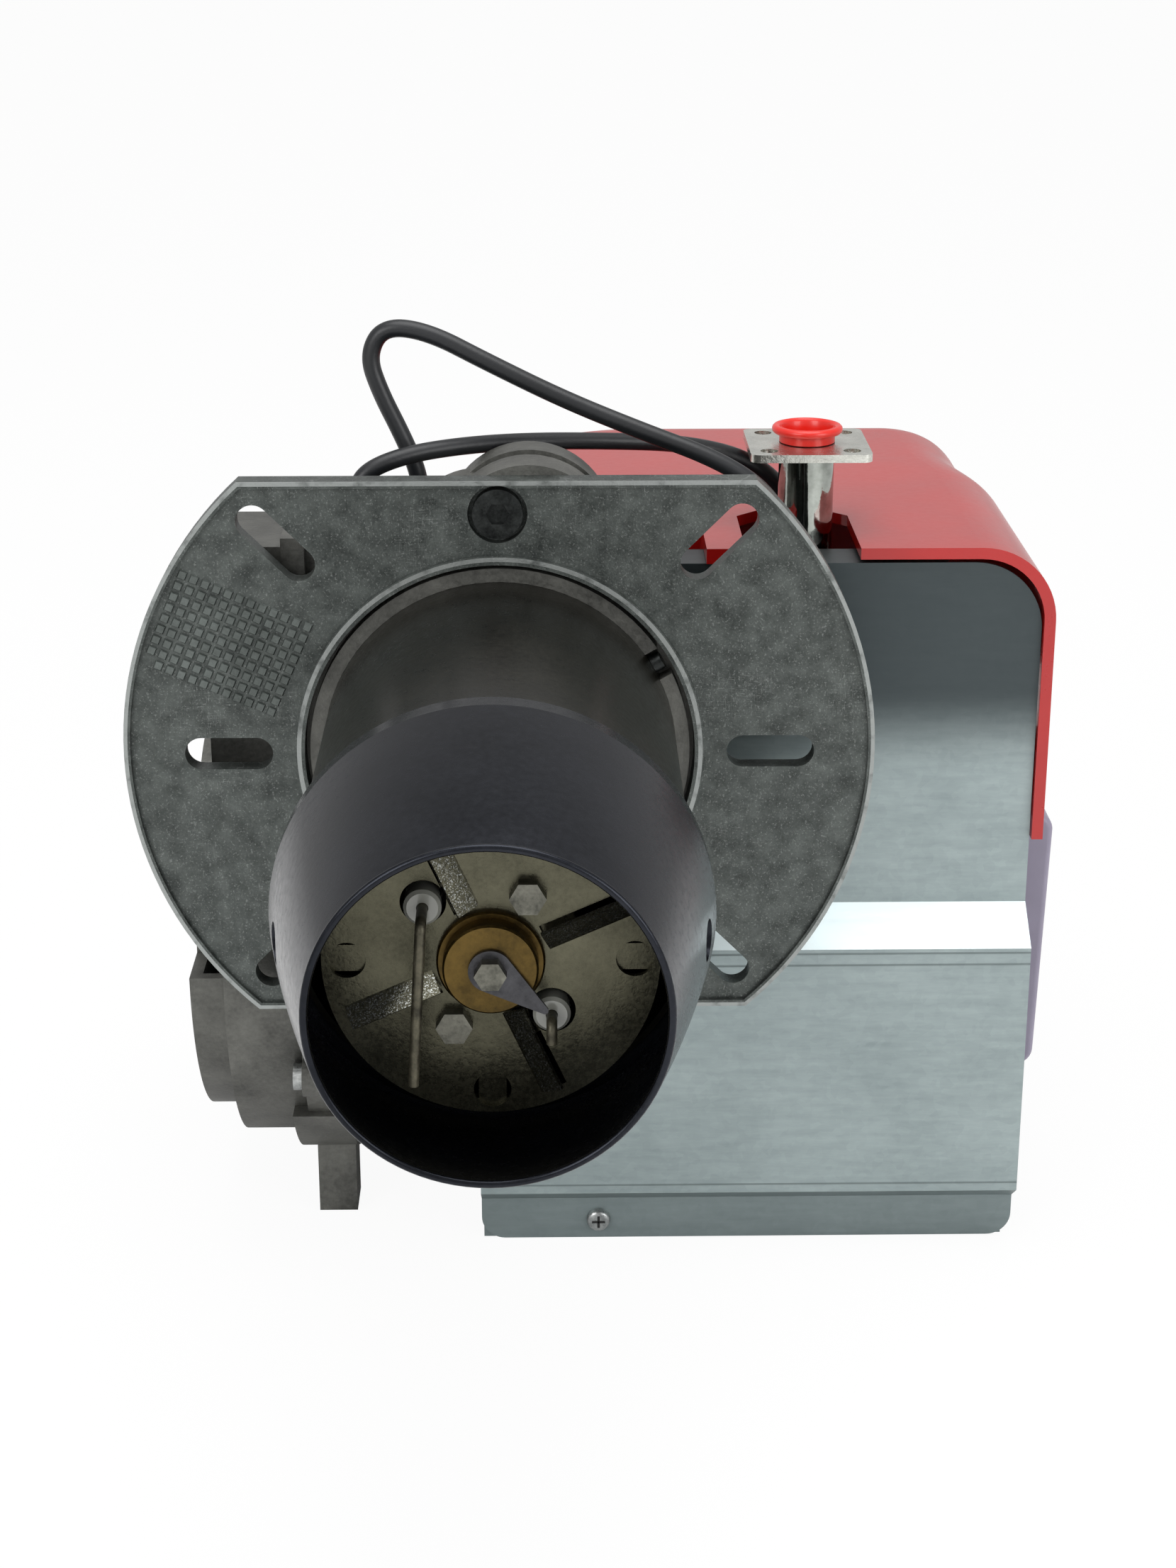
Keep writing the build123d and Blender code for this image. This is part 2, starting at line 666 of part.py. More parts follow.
def casing_inside():
    hollow = along_x(casing_sketch(0), CASING_STEP + CAST_WALL, CASING_RIGHT - CAST_WALL)
    hollow += along_x(volute_sketch(-STEP_INSET), CASING_LEFT + CAST_WALL, CASING_STEP + CAST_WALL)
    hollow -= block((CASING_STEP, CASING_RIGHT), (0, CHAMBER_BACK), (DUCT_TOP, DUCT_TOP + CHAMBER_R))
    return hollow + rod_y(CHAMBER_R - CAST_WALL, 0, 0, NOSE_BACK, CHAMBER_BACK - CAST_WALL)


def nose():
    """Collar through the flange's bore that the blast tube sits in, cut by one notch."""
    collar = ring_y(NOSE_R, NOSE_BORE_R, NOSE_FRONT, FLANGE_T)
    collar += ring_y(CHAMBER_R, NOSE_BORE_R, FLANGE_T, NOSE_BACK)
    collar += ring_y(NOSE_BORE_R + 1, TUBE_IN_R - 1, TUBE_BACK + FIT, NOSE_BACK)
    notch = block((TUBE_IN_R, NOSE_R + 1), (NOSE_FRONT - 1, FLANGE_T), (-NOSE_NOTCH_W / 2, NOSE_NOTCH_W / 2))
    return collar - Rot(0, -NOSE_NOTCH_ANGLE, 0) * notch


def casing_whole():
    body = casing_outside() - casing_inside()
    body -= rod_y(CHAMBER_R - CAST_WALL, 0, 0, FLANGE_T - 1, NOSE_BACK)
    body += nose()
    body -= rod_y(LANCE_R + FIT, 0, 0, NOSE_BACK, CHAMBER_BACK + 1)
    body -= rod_y(FLANGE_SCREW_R + FIT, 0, FLANGE_SCREW_Z, 0, FLANGE_HEAD_H + FLANGE_SCREW_L + GAP)
    body -= rod_x(SPIGOT_R + FIT, FAN_Y, FAN_Z, CASING_RIGHT - CAST_WALL - 1, CASING_RIGHT + 1)
    body += rod_x(INTAKE_R + INTAKE_WALL, FAN_Y, FAN_Z, CASING_LEFT, CASING_LEFT + INTAKE_DEPTH)
    body -= rod_x(INTAKE_R, FAN_Y, FAN_Z, CASING_LEFT - 1, CASING_LEFT + INTAKE_DEPTH + 1)
    for y, z in lug_places():
        body -= rod_x(CASE_SCREW_R + FIT, y, z, CASING_SPLIT - 9, CASING_SPLIT + SEAM_W - 1)
    for x, z in manifold_screw_places():
        body -= rod_y(MANIFOLD_SCREW_R + FIT, x, z, CHAMBER_BACK - CAST_WALL - 1, CHAMBER_BACK + 1)
    return body


def casing_half(whole, xs):
    half = whole & block(xs, (-20, 260), (-220, 120))
    return half.solids().sort_by(SortBy.VOLUME)[-1]


def casing_screws():
    face = CASING_SPLIT - SEAM_W
    screws = []
    for y, z in lug_places():
        head = rod_x(CASE_SCREW_HEAD_R, y, z, face - CASE_SCREW_HEAD_H, face)
        screws.append(head + rod_x(CASE_SCREW_R, y, z, face, CASING_SPLIT + SEAM_W - 1 - GAP))
    return Compound(children=screws)


# ---- fan, shaft and motor ----
def blade():
    """One forward-curved blade between two arcs, drawn in (Y, Z)."""
    start, lean = (BLADE_IN_R, 0.0), BLADE_SWEEP / 2
    middle = polar((BLADE_IN_R + FAN_R) / 2, lean / 3)
    end = polar(FAN_R - 0.3, lean)
    turn = Rot(0, 0, -degrees_of(BLADE_T / BLADE_IN_R))
    front = ThreePointArc(start, middle, end)
    back = turn * ThreePointArc(start, middle, end)
    return make_face(Wire([front, Line(front @ 1, back @ 1), back, Line(back @ 0, front @ 0)]))


def degrees_of(angle):
    return angle * 180 / pi


def fan_wheel():
    back = rod_x(FAN_R, 0, 0, FAN_BACK - FAN_PLATE_T, FAN_BACK)
    front = along_x(Circle(FAN_R) - Circle(FAN_R - FAN_RING_W), FAN_FRONT, FAN_FRONT + FAN_PLATE_T)
    hub = rod_x(HUB_R, 0, 0, FAN_BACK - HUB_L, FAN_BACK)
    one = along_x(blade(), FAN_FRONT + FAN_PLATE_T / 2, FAN_BACK - FAN_PLATE_T / 2)
    wheel = joined([back, front, hub] + [Rot(360 * k / BLADES, 0, 0) * one for k in range(BLADES)])
    wheel -= rod_x(SHAFT_R + FIT, 0, 0, FAN_FRONT, FAN_BACK + 1)
    return Pos(0, FAN_Y, FAN_Z) * wheel


def motor_shaft():
    return rod_x(SHAFT_R, FAN_Y, FAN_Z, FAN_BACK - HUB_L - 2, SHAFT_END)


def motor_body():
    """Flanged motor with cooling fins and a saddle for its capacitor."""
    motor = rod_x(MOTOR_FLANGE_R, FAN_Y, FAN_Z, CASING_RIGHT, MOTOR_FACE)
    motor += rod_x(SPIGOT_R, FAN_Y, FAN_Z, CASING_RIGHT - CAST_WALL, CASING_RIGHT)
    motor += rod_x(MOTOR_R, FAN_Y, FAN_Z, MOTOR_FACE, MOTOR_END)
    fin = block((MOTOR_FACE, MOTOR_END - 6), (MOTOR_R - 1, MOTOR_R + FIN_H), (-FIN_W / 2, FIN_W / 2))
    for k in range(MOTOR_FINS):
        motor += Pos(0, FAN_Y, FAN_Z) * Rot(360 * (k + 0.5) / MOTOR_FINS, 0, 0) * fin
    motor += block(SADDLE_X, (FAN_Y + MOTOR_R - 4, capacitor_y()), (FAN_Z - 10, FAN_Z + 10))
    motor -= rod_x(CAPACITOR_R + FIT, capacitor_y(), FAN_Z, *CAPACITOR_X)
    return motor - rod_x(SHAFT_R + RUN, FAN_Y, FAN_Z, CASING_RIGHT - CAST_WALL - 1, SHAFT_END + 1)


def capacitor_y():
    return FAN_Y + MOTOR_R + FIN_H + CAPACITOR_R + 1


def motor_end_cap():
    cap = rod_x(MOTOR_R, FAN_Y, FAN_Z, MOTOR_END, MOTOR_END + CAP_L)
    return fillet(cap.edges().sort_by(Axis.X)[-1], CAP_L * 0.6)


def capacitor():
    return rod_x(CAPACITOR_R, capacitor_y(), FAN_Z, CAPACITOR_X[0] + 1, CAPACITOR_X[1] - 1)


# ---- air intake ----
def sectors(r0, r1):
    """Openings of the intake plate and of the shutter behind it, drawn in (Y, Z)."""
    total = Sketch()
    half = SECTOR_ANGLE / 2
    for k in range(SECTORS):
        a, b = 90 * k - half, 90 * k + half
        outer = ThreePointArc(polar(r1, a), polar(r1, 90 * k), polar(r1, b))
        inner = ThreePointArc(polar(r0, b), polar(r0, 90 * k), polar(r0, a))
        sides = [Line(outer @ 1, inner @ 0), Line(inner @ 1, outer @ 0)]
        total += make_face(Wire([outer, sides[0], inner, sides[1]]))
    return total


def arc_slot(r, width, a, b):
    """Curved slot on a radius between two angles, with round ends."""
    inner, outer = r - width / 2, r + width / 2
    mid = (a + b) / 2
    arcs = [ThreePointArc(polar(outer, a), polar(outer, mid), polar(outer, b)),
            ThreePointArc(polar(inner, b), polar(inner, mid), polar(inner, a))]
    face = make_face(Wire([arcs[0], Line(arcs[0] @ 1, arcs[1] @ 0), arcs[1], Line(arcs[1] @ 1, arcs[0] @ 0)]))
    return face + Pos(*polar(r, a)) * Circle(width / 2) + Pos(*polar(r, b)) * Circle(width / 2)


def intake_plate():
    plate = along_x(Circle(INTAKE_R - FIT), INTAKE_PLATE_X, INTAKE_PLATE_X + INTAKE_PLATE_T)
    cut = sectors(SECTOR_IN_R, SECTOR_OUT_R) + Circle(SHUTTER_HUB_R + FIT)
    plate -= along_x(cut, INTAKE_PLATE_X - 1, INTAKE_PLATE_X + INTAKE_PLATE_T + 1)
    slot = arc_slot(TAB_CIRCLE, 2 * TAB_R + 2 * AIR, TAB_START - 1, TAB_START + SHUTTER_TRAVEL + 1)
    plate -= along_x(slot, INTAKE_PLATE_X - 1, INTAKE_PLATE_X + INTAKE_PLATE_T + 1)
    return Pos(0, FAN_Y, FAN_Z) * plate


def air_shutter():
    """Turning disc with the same sectors as the plate and a finger tab through its slot."""
    disc = along_x(Circle(SHUTTER_R) - sectors(SECTOR_IN_R, SECTOR_OUT_R), SHUTTER_X, SHUTTER_X + SHUTTER_T)
    disc -= along_x(Circle(SHUTTER_HUB_R + RUN), SHUTTER_X - 1, SHUTTER_X + SHUTTER_T + 1)
    y, z = polar(TAB_CIRCLE, TAB_START)
    disc += rod_x(TAB_R, y, z, INTAKE_PLATE_X - TAB_PROUD, SHUTTER_X)
    return Pos(0, FAN_Y, FAN_Z) * disc


def shutter_pivot():
    pivot = rod_x(SHUTTER_HUB_R, FAN_Y, FAN_Z, INTAKE_PLATE_X, SHUTTER_X + SHUTTER_T + AIR)
    pivot += rod_x(PIVOT_HEAD_R, FAN_Y, FAN_Z, INTAKE_PLATE_X - 1.6, INTAKE_PLATE_X)
    end = SHUTTER_X + SHUTTER_T + AIR
    return pivot + rod_x(PIVOT_HEAD_R, FAN_Y, FAN_Z, end, end + 1.6)


# ---- gas line ----
def gas_flange():
    z0 = GAS_FLANGE_TOP - GAS_FLANGE_T
    outline = RectangleRounded(GAS_FLANGE_SIDE, GAS_FLANGE_SIDE, 3)
    outline -= Circle(PIPE_R + FIT)
    plate = Pos(PIPE_X, PIPE_Y, 0) * along_z(outline, z0, GAS_FLANGE_TOP)
    for x in (-1, 1):
        for y in (-1, 1):
            at = (PIPE_X + x * GAS_BOLT_SPACING / 2, PIPE_Y + y * GAS_BOLT_SPACING / 2)
            plate -= rod_z(GAS_BOLT_HOLE_R, *at, z0 - 1, GAS_FLANGE_TOP + 1)
    return plate


def gas_pipe():
    """Upright pipe that bends under the cover and runs level into the manifold."""
    path = FilletPolyline(
        (PIPE_X, PIPE_Y, GAS_FLANGE_TOP), (PIPE_X, PIPE_Y, 0), (MANIFOLD_STOP_X + GAP, PIPE_Y, 0),
        radius=PIPE_BEND_R)
    start = Plane(path @ 0, z_dir=path % 0)
    return sweep(start * Circle(PIPE_R), path=path) - sweep(start * Circle(PIPE_IN_R), path=path)


def manifold_screw_places():
    return [polar(MANIFOLD_SCREW_CIRCLE, turn) for turn in (MANIFOLD_SCREW_TURN, -MANIFOLD_SCREW_TURN)]


def gas_manifold():
    """Elbow on the chamber's back wall that turns the gas into the lance."""
    y0, y1 = CHAMBER_BACK, CHAMBER_BACK + MANIFOLD_FLANGE_T
    body = rod_y(MANIFOLD_FLANGE_R, 0, 0, y0, y1)
    body += rod_y(MANIFOLD_R, 0, 0, y0, MANIFOLD_BACK)
    body &= block((-MANIFOLD_R, 60), (y0, 100), (-MANIFOLD_FLANGE_R, MANIFOLD_FLANGE_R))
    body += rod_x(PIPE_R + CLAMP_WALL, PIPE_Y, 0, 0, MANIFOLD_SOCKET_X)
    body -= rod_y(LANCE_SOCKET_R, 0, 0, y0 - 1, y0 + MANIFOLD_FLANGE_T / 2 + FIT)
    body -= rod_y(GAS_PASSAGE_R, 0, 0, y0 - 1, PIPE_Y + GAS_PASSAGE_R)
    body -= rod_x(GAS_PASSAGE_R, PIPE_Y, 0, 0, MANIFOLD_SOCKET_X + 1)
    body -= rod_x(PIPE_R + FIT, PIPE_Y, 0, MANIFOLD_STOP_X, MANIFOLD_SOCKET_X + 1)
    for x, z in manifold_screw_places():
        body -= rod_y(MANIFOLD_SCREW_R + FIT, x, z, y0 - 1, y1 + 1)
    return body


def manifold_screws():
    y1 = CHAMBER_BACK + MANIFOLD_FLANGE_T
    screws = []
    for x, z in manifold_screw_places():
        head = rod_y(MANIFOLD_SCREW_HEAD_R, x, z, y1, y1 + 2)
        screws.append(head + rod_y(MANIFOLD_SCREW_R, x, z, CHAMBER_BACK - CAST_WALL, y1))
    return Compound(children=screws)


def transport_plug():
    """Moulded cup that closes the gas inlet until the burner is piped up."""
    z0 = GAS_FLANGE_TOP + GAP
    shoulder = z0 + PLUG_NECK_H
    top = shoulder + PLUG_COLLAR_H
    plug = rod_z(PIPE_IN_R - 0.1, PIPE_X, PIPE_Y, z0 - PLUG_SPIGOT_L, z0)
    plug += rod_z(PLUG_NECK_R, PIPE_X, PIPE_Y, z0, shoulder)
    plug += rod_z(PLUG_COLLAR_R, PIPE_X, PIPE_Y, shoulder, top)
    plug -= rod_z(PLUG_CUP_R, PIPE_X, PIPE_Y, z0 + PLUG_WALL, top + 1)
    return plug - rod_z(PIPE_IN_R - PLUG_WALL, PIPE_X, PIPE_Y, z0 - PLUG_SPIGOT_L + PLUG_WALL, top)


# ---- sheet metal ----
def panel_profile():
    """Front face of the panel in (Y, Z), from the top return down to the lip."""
    return [
        (PANEL_Y + PANEL_RETURN, PANEL_TOP), (PANEL_Y, PANEL_TOP), (PANEL_Y, JOGGLE_TOP),
        (LOWER_Y, JOGGLE_BOTTOM), (LOWER_Y, LIP_TOP), (LIP_Y, LIP_TOP - LIP_SLOPE), (LIP_Y, PANEL_BOTTOM)]


def front_panel():
    """Pressed front sheet with a joggle, cut out round the body."""
    inner = offset(Polyline(panel_profile()), amount=SHEET, side=Side.LEFT, closed=True)
    panel = along_x(make_face(inner), *PANEL_X)
    panel -= block((PANEL_RETURN_END, 200), (PANEL_Y + SHEET, 100), (0, 100))
    corner = along_y(
        Pos(PANEL_X[1], PANEL_TOP) * Rectangle(2 * PANEL_CORNER_R, 2 * PANEL_CORNER_R)
        - Pos(PANEL_X[1] - PANEL_CORNER_R, PANEL_TOP - PANEL_CORNER_R) * Circle(PANEL_CORNER_R), 0, 100)
    panel -= corner
    for side in (0, 1):
        x = PANEL_X[side] + (LIP_CORNER_R if side == 0 else -LIP_CORNER_R)
        at = Pos(PANEL_X[side], PANEL_BOTTOM) * Rectangle(2 * LIP_CORNER_R, 2 * LIP_CORNER_R)
        panel -= along_y(at - Pos(x, PANEL_BOTTOM + LIP_CORNER_R) * Circle(LIP_CORNER_R), 0, 100)
    panel -= rod_y(CHAMBER_R + GAP, 0, 0, 0, 100)
    panel -= rod_y(DOME_R + GAP, *DOME_AT, 0, 100)
    panel -= rod_y(SHOULDER_R + GAP, *SHOULDER_AT, 0, 100)
    x, z = PANEL_SCREW_AT
    return panel - rod_y(PANEL_SCREW_R + FIT, x, z, 0, 100)


def base_plate():
    """Tray behind the panel, with a front edge for the panel screw and a back tongue for the cover's."""
    front = LIP_Y + SHEET
    tongue_back = COVER_BACK - COVER_WALL - GAP
    plate = block(BASE_X, (front, BASE_BACK), (BASE_Z - SHEET, BASE_Z))
    plate += block(BASE_X, (front, front + SHEET), (PANEL_BOTTOM, BASE_Z))
    plate += block(TONGUE_X, (BASE_BACK - 1, tongue_back), (BASE_Z - SHEET, BASE_Z))
    plate += block(TONGUE_X, (tongue_back - SHEET, tongue_back), (BASE_Z - SHEET, TONGUE_TOP))
    plate -= rod_y(PANEL_SCREW_R + FIT, *PANEL_SCREW_AT, 0, 60)
    return plate - rod_y(COVER_SCREW_R + FIT, *COVER_SCREW_AT, tongue_back - 5, 240)


def panel_screw():
    x, z = PANEL_SCREW_AT
    head = rod_y(PANEL_SCREW_HEAD_R, x, z, LIP_Y - PANEL_SCREW_HEAD_H, LIP_Y)
    head = fillet(head.edges().sort_by(Axis.Y)[0], PANEL_SCREW_HEAD_H * 0.7)
    return head + rod_y(PANEL_SCREW_R, x, z, LIP_Y, LIP_Y + 8)


# ---- cover ----
def cover_plan(inset, front):
    """Outline of the cover seen from above, drawn in by an inset."""
    right, waist = COVER_RIGHT - inset, COVER_RIGHT - COVER_WAIST - inset
    back, left = COVER_BACK - inset, COVER_LEFT + inset
    r, big = COVER_CORNER_R - inset, COVER_BIG_CORNER_R - inset
    step_x, step_y = STEP_X + inset, STEP_Y + inset
    diag = 1 - 0.5 ** 0.5
    curve = Spline([(right, WAIST_Y[0]), (waist, WAIST_Y[1])], tangents=[(0, 1), (0, 1)])
    edges = [
        Line((step_x, front), (right, front)),
        Line((right, front), (right, WAIST_Y[0])),
        curve,
        Line((waist, WAIST_Y[1]), (waist, back - r)),
        ThreePointArc((waist, back - r), (waist - r * diag, back - r * diag), (waist - r, back)),
        Line((waist - r, back), (left + big, back)),
        ThreePointArc((left + big, back), (left + big * diag, back - big * diag), (left, back - big)),
        Line((left, back - big), (left, step_y)),
        Line((left, step_y), (step_x, step_y)),
        Line((step_x, step_y), (step_x, front)),
    ]
    return make_face(Wire(edges))


def cover_form(inset, front, bottom):
    form = along_z(cover_plan(inset, front), bottom, COVER_TOP - inset)
    rim = [e for e in form.edges().group_by(Axis.Z)[-1]
           if e.center().Y > front + 1 and e.center().X > COVER_LEFT + inset + 1
           and not (e.center().X < STEP_X + 5 and e.center().Y < STEP_Y + 8)]
    return fillet(rim, COVER_EDGE_R - inset)


def cover():
    """Pressed cover, open in front and below, that pulls off backwards."""
    shell = cover_form(0, COVER_FRONT, COVER_SKIRT)
    shell -= cover_form(COVER_WALL, COVER_FRONT - 10, COVER_SKIRT - 10)
    lip = COVER_TOP - STEP_LIP
    shell -= block((SKIRT_RIGHT, 200), (0, 300), (-200, COVER_SIDE))
    shell -= block((-20, STEP_X + COVER_WALL + 1), (0, STEP_Y + COVER_WALL + 1), (-200, lip))
    shell -= block((STEP_X - 1, STEP_X + COVER_WALL + 1), (0, PANEL_Y + PANEL_RETURN + 1), (0, PANEL_TOP + AIR))
    shell -= block((-20, 0), (0, BASE_BACK - 18), (-200, COVER_LEFT_EDGE))
    notch = Polygon(
        (NOTCH_X[0], 0), (NOTCH_X[1], 0), (NOTCH_X[1], NOTCH_Y - NOTCH_CHAMFER),
        (NOTCH_X[1] - NOTCH_CHAMFER, NOTCH_Y), (NOTCH_X[0] + NOTCH_CHAMFER, NOTCH_Y),
        (NOTCH_X[0], NOTCH_Y - NOTCH_CHAMFER), align=None)
    shell -= along_z(notch, 0, 100)
    return shell - rod_y(COVER_SCREW_R + FIT, *COVER_SCREW_AT, 200, 260)


def cover_screw():
    x, z = COVER_SCREW_AT
    head = rod_y(COVER_SCREW_HEAD_R, x, z, COVER_BACK, COVER_BACK + COVER_SCREW_HEAD_H)
    shank = rod_y(COVER_SCREW_R, x, z, COVER_BACK - COVER_WALL - 8, COVER_BACK)
    return fillet(head.edges().sort_by(Axis.Y)[-1], 1.2) + shank


# ---- electrical parts ----
def control_bracket():
    plate = block((BRACKET_X, BRACKET_X + SHEET), BRACKET_Y, (BASE_Z, BRACKET_TOP))
    return plate + block((BRACKET_X, BRACKET_X + 12), BRACKET_Y, (BASE_Z, BASE_Z + SHEET))


def box_face_x(z):
    """Outer face of the control box, drawn in towards the bottom."""
    share = (BOX_Z[1] - z) / (BOX_Z[1] - BOX_Z[0])
    return BOX_RIGHT - BOX_DRAFT * share


def control_box_base():
    x0 = BRACKET_X + SHEET
    return block((x0, x0 + BOX_BASE_T), (BOX_Y[0] + 2, BOX_Y[1] - 2), (BOX_Z[0] + 2, BOX_Z[1] - 2))


def button_hole():
    y, z = BUTTON_AT
    face = box_face_x(z)
    return y, z, face


def control_box():
    x0 = BRACKET_X + SHEET + BOX_BASE_T
    outline = Polygon(
        (x0, BOX_Z[0]), (box_face_x(BOX_Z[0]), BOX_Z[0]), (box_face_x(BOX_Z[1]), BOX_Z[1]), (x0, BOX_Z[1]),
        align=None)
    box = along_y(outline, *BOX_Y)
    box = fillet(box.edges().filter_by(Axis.Y).sort_by(Axis.X)[-2:], BOX_EDGE_R * 1.5)
    box = fillet(box.faces().sort_by(Axis.X)[-1].edges(), BOX_EDGE_R / 2)
    y, z, face = button_hole()
    box -= rod_x(DIMPLE_R, y, z, face - DIMPLE_DEPTH, face + 5)
    return box - rod_x(BUTTON_R + AIR, y, z, face - BUTTON_L - BUTTON_PROUD, face + 1)


def reset_button():
    y, z, face = button_hole()
    tip = face + BUTTON_PROUD - DIMPLE_DEPTH
    button = rod_x(BUTTON_R, y, z, tip - BUTTON_L, tip)
    return fillet(button.edges().sort_by(Axis.X)[-1], 1.5)


def mains_socket():
    """Socket for the mains plug, with a row of contact holes."""
    y, z = SOCKET_AT
    dx, dy, dz = SOCKET_SIZE
    x0 = BRACKET_X + SHEET
    socket = block((x0, x0 + dx), (y - dy / 2, y + dy / 2), (z - dz / 2, z + dz / 2))
    for k in range(SOCKET_PINS):
        socket -= rod_x(1.6, y, z + (k - (SOCKET_PINS - 1) / 2) * 6, x0 + dx - 8, x0 + dx + 1)
    return socket


def ignition_transformer():
    """Cast-in ignition transformer with two high-voltage terminals."""
    top = BASE_Z + TRANSFORMER_H
    body = block(TRANSFORMER_X, TRANSFORMER_Y, (BASE_Z, top - 8))
    body = fillet(body.edges().filter_by(Axis.Z), 4)
    y = sum(TRANSFORMER_Y) / 2
    for x in (TRANSFORMER_X[0] + 18, TRANSFORMER_X[1] - 18):
        body += rod_z(TERMINAL_R, x, y, top - 9, top) - rod_z(2.2, x, y, top - 6, top + 1)
    return body


def switch_bracket():
    """Angle on the chamber's back wall with a shelf for the air pressure switch."""
    y0 = CHAMBER_BACK
    leaf = block(SHELF_X, (y0, y0 + SHEET), (SHELF_Z, PANEL_TOP - 14))
    shelf = block(SHELF_X, (y0, SHELF_BACK), (SHELF_Z, SHELF_Z + SHEET))
    return leaf + shelf + block((SHELF_X[0], SWITCH_X[1]), (SWITCH_Y[0], SHELF_BACK), (SHELF_Z, SHELF_Z + SHEET))


def air_pressure_switch():
    z0 = SHELF_Z + SHEET
    body = block((SHELF_X[0] + 6, SWITCH_X[1]), (SWITCH_Y[0] + 14, SWITCH_Y[1]), (z0, SWITCH_TOP - 4))
    body += block(SWITCH_X, SWITCH_Y, (z0, SWITCH_TOP))
    body = fillet(body.edges().filter_by(Axis.Z).sort_by(Axis.X)[-2:], 3)
    y = (SWITCH_Y[0] + 14 + SWITCH_Y[1]) / 2
    return body + rod_z(SWITCH_PORT_R, SHELF_X[0] + 18, y, SWITCH_TOP - 5, SWITCH_TOP + 5)


# ---- leads and their glands ----
def gland(x, y, z):
    """Cable gland with a hexagon collar; the lead starts at its top face."""
    hexed = Pos(x, y) * hexagon(1.8 * GLAND_R)
    return along_z(hexed, z, z + GLAND_H * 0.6) + rod_z(GLAND_R * 0.8, x, y, z + GLAND_H * 0.5, z + GLAND_H)


def casing_glands():
    return Compound(children=[gland(*BACK_GLAND, CASING_TOP), gland(*FRONT_GLAND, CASING_TOP)])


def gland_bracket():
    """Small angle on the panel that carries the front gland, behind the mounting flange."""
    x, y, z = PANEL_GLAND
    half = GLAND_TAB_W / 2
    tab = block((x - half, x + half), (y - 8, PANEL_Y), (z - SHEET, z))
    return tab + block((x - half, x + half), (PANEL_Y - SHEET, PANEL_Y), (z - GLAND_TAB_DROP, z))


def lead_route(points):
    """Straight runs joined by arcs as large as the two runs beside each corner allow."""
    radii = []
    for a, b, c in zip(points, points[1:], points[2:]):
        before, after = Vector(*b) - Vector(*a), Vector(*c) - Vector(*b)
        half_turn = radians(before.get_angle(after)) / 2
        radii.append(0.45 * min(before.length, after.length) / tan(half_turn))
    return FilletPolyline(*points, radius=radii), radii


def lead(points, name):
    path, radii = lead_route(points)
    solid = sweep(Plane(path @ 0, z_dir=path % 0) * Circle(LEAD_R), path=path)
    full = pi * LEAD_R ** 2 * path.length
    print(name, "length", round(path.length, 1), "volume share", round(solid.volume / full, 4))
    print(name, "radii", [round(r, 1) for r in radii])
    return solid


def switch_lead():
    """Lead from the pressure switch, over the cover, to the casing's front gland."""
    return lead([
        (*SWITCH_GLAND, SWITCH_TOP + GLAND_H), (*SWITCH_GLAND, 52), (90.5, 85, 62), (78, 81, 72),
        (58, 72.5, 78.5), (33, 63, 81.5), (8, 50, 84.5), (-12, 37, 86), (-28, 29.5, 85),
        (-39.5, 26.5, 81), (*FRONT_GLAND, 75), (*FRONT_GLAND, CASING_TOP + GLAND_H)], "switch_lead")


def loop_lead():
    """Lead that stands up in a narrow loop and runs down behind the flange."""
    return lead([
        (*BACK_GLAND, CASING_TOP + GLAND_H), (*BACK_GLAND, 75), (-29.5, 43.5, 88), (-36, 45, 101),
        (-39.5, 45.5, 112), (-34.5, 45, 121), (-21, 44, 119.5), (-3, 41.5, 110.5), (20, 39.5, 99.5),
        (44, 36, 90.3), (65, 33, 83), (80, 31.5, 74), (PANEL_GLAND[0], PANEL_GLAND[1], 61),
        (PANEL_GLAND[0], PANEL_GLAND[1], PANEL_GLAND[2] + GLAND_H)], "loop_lead")


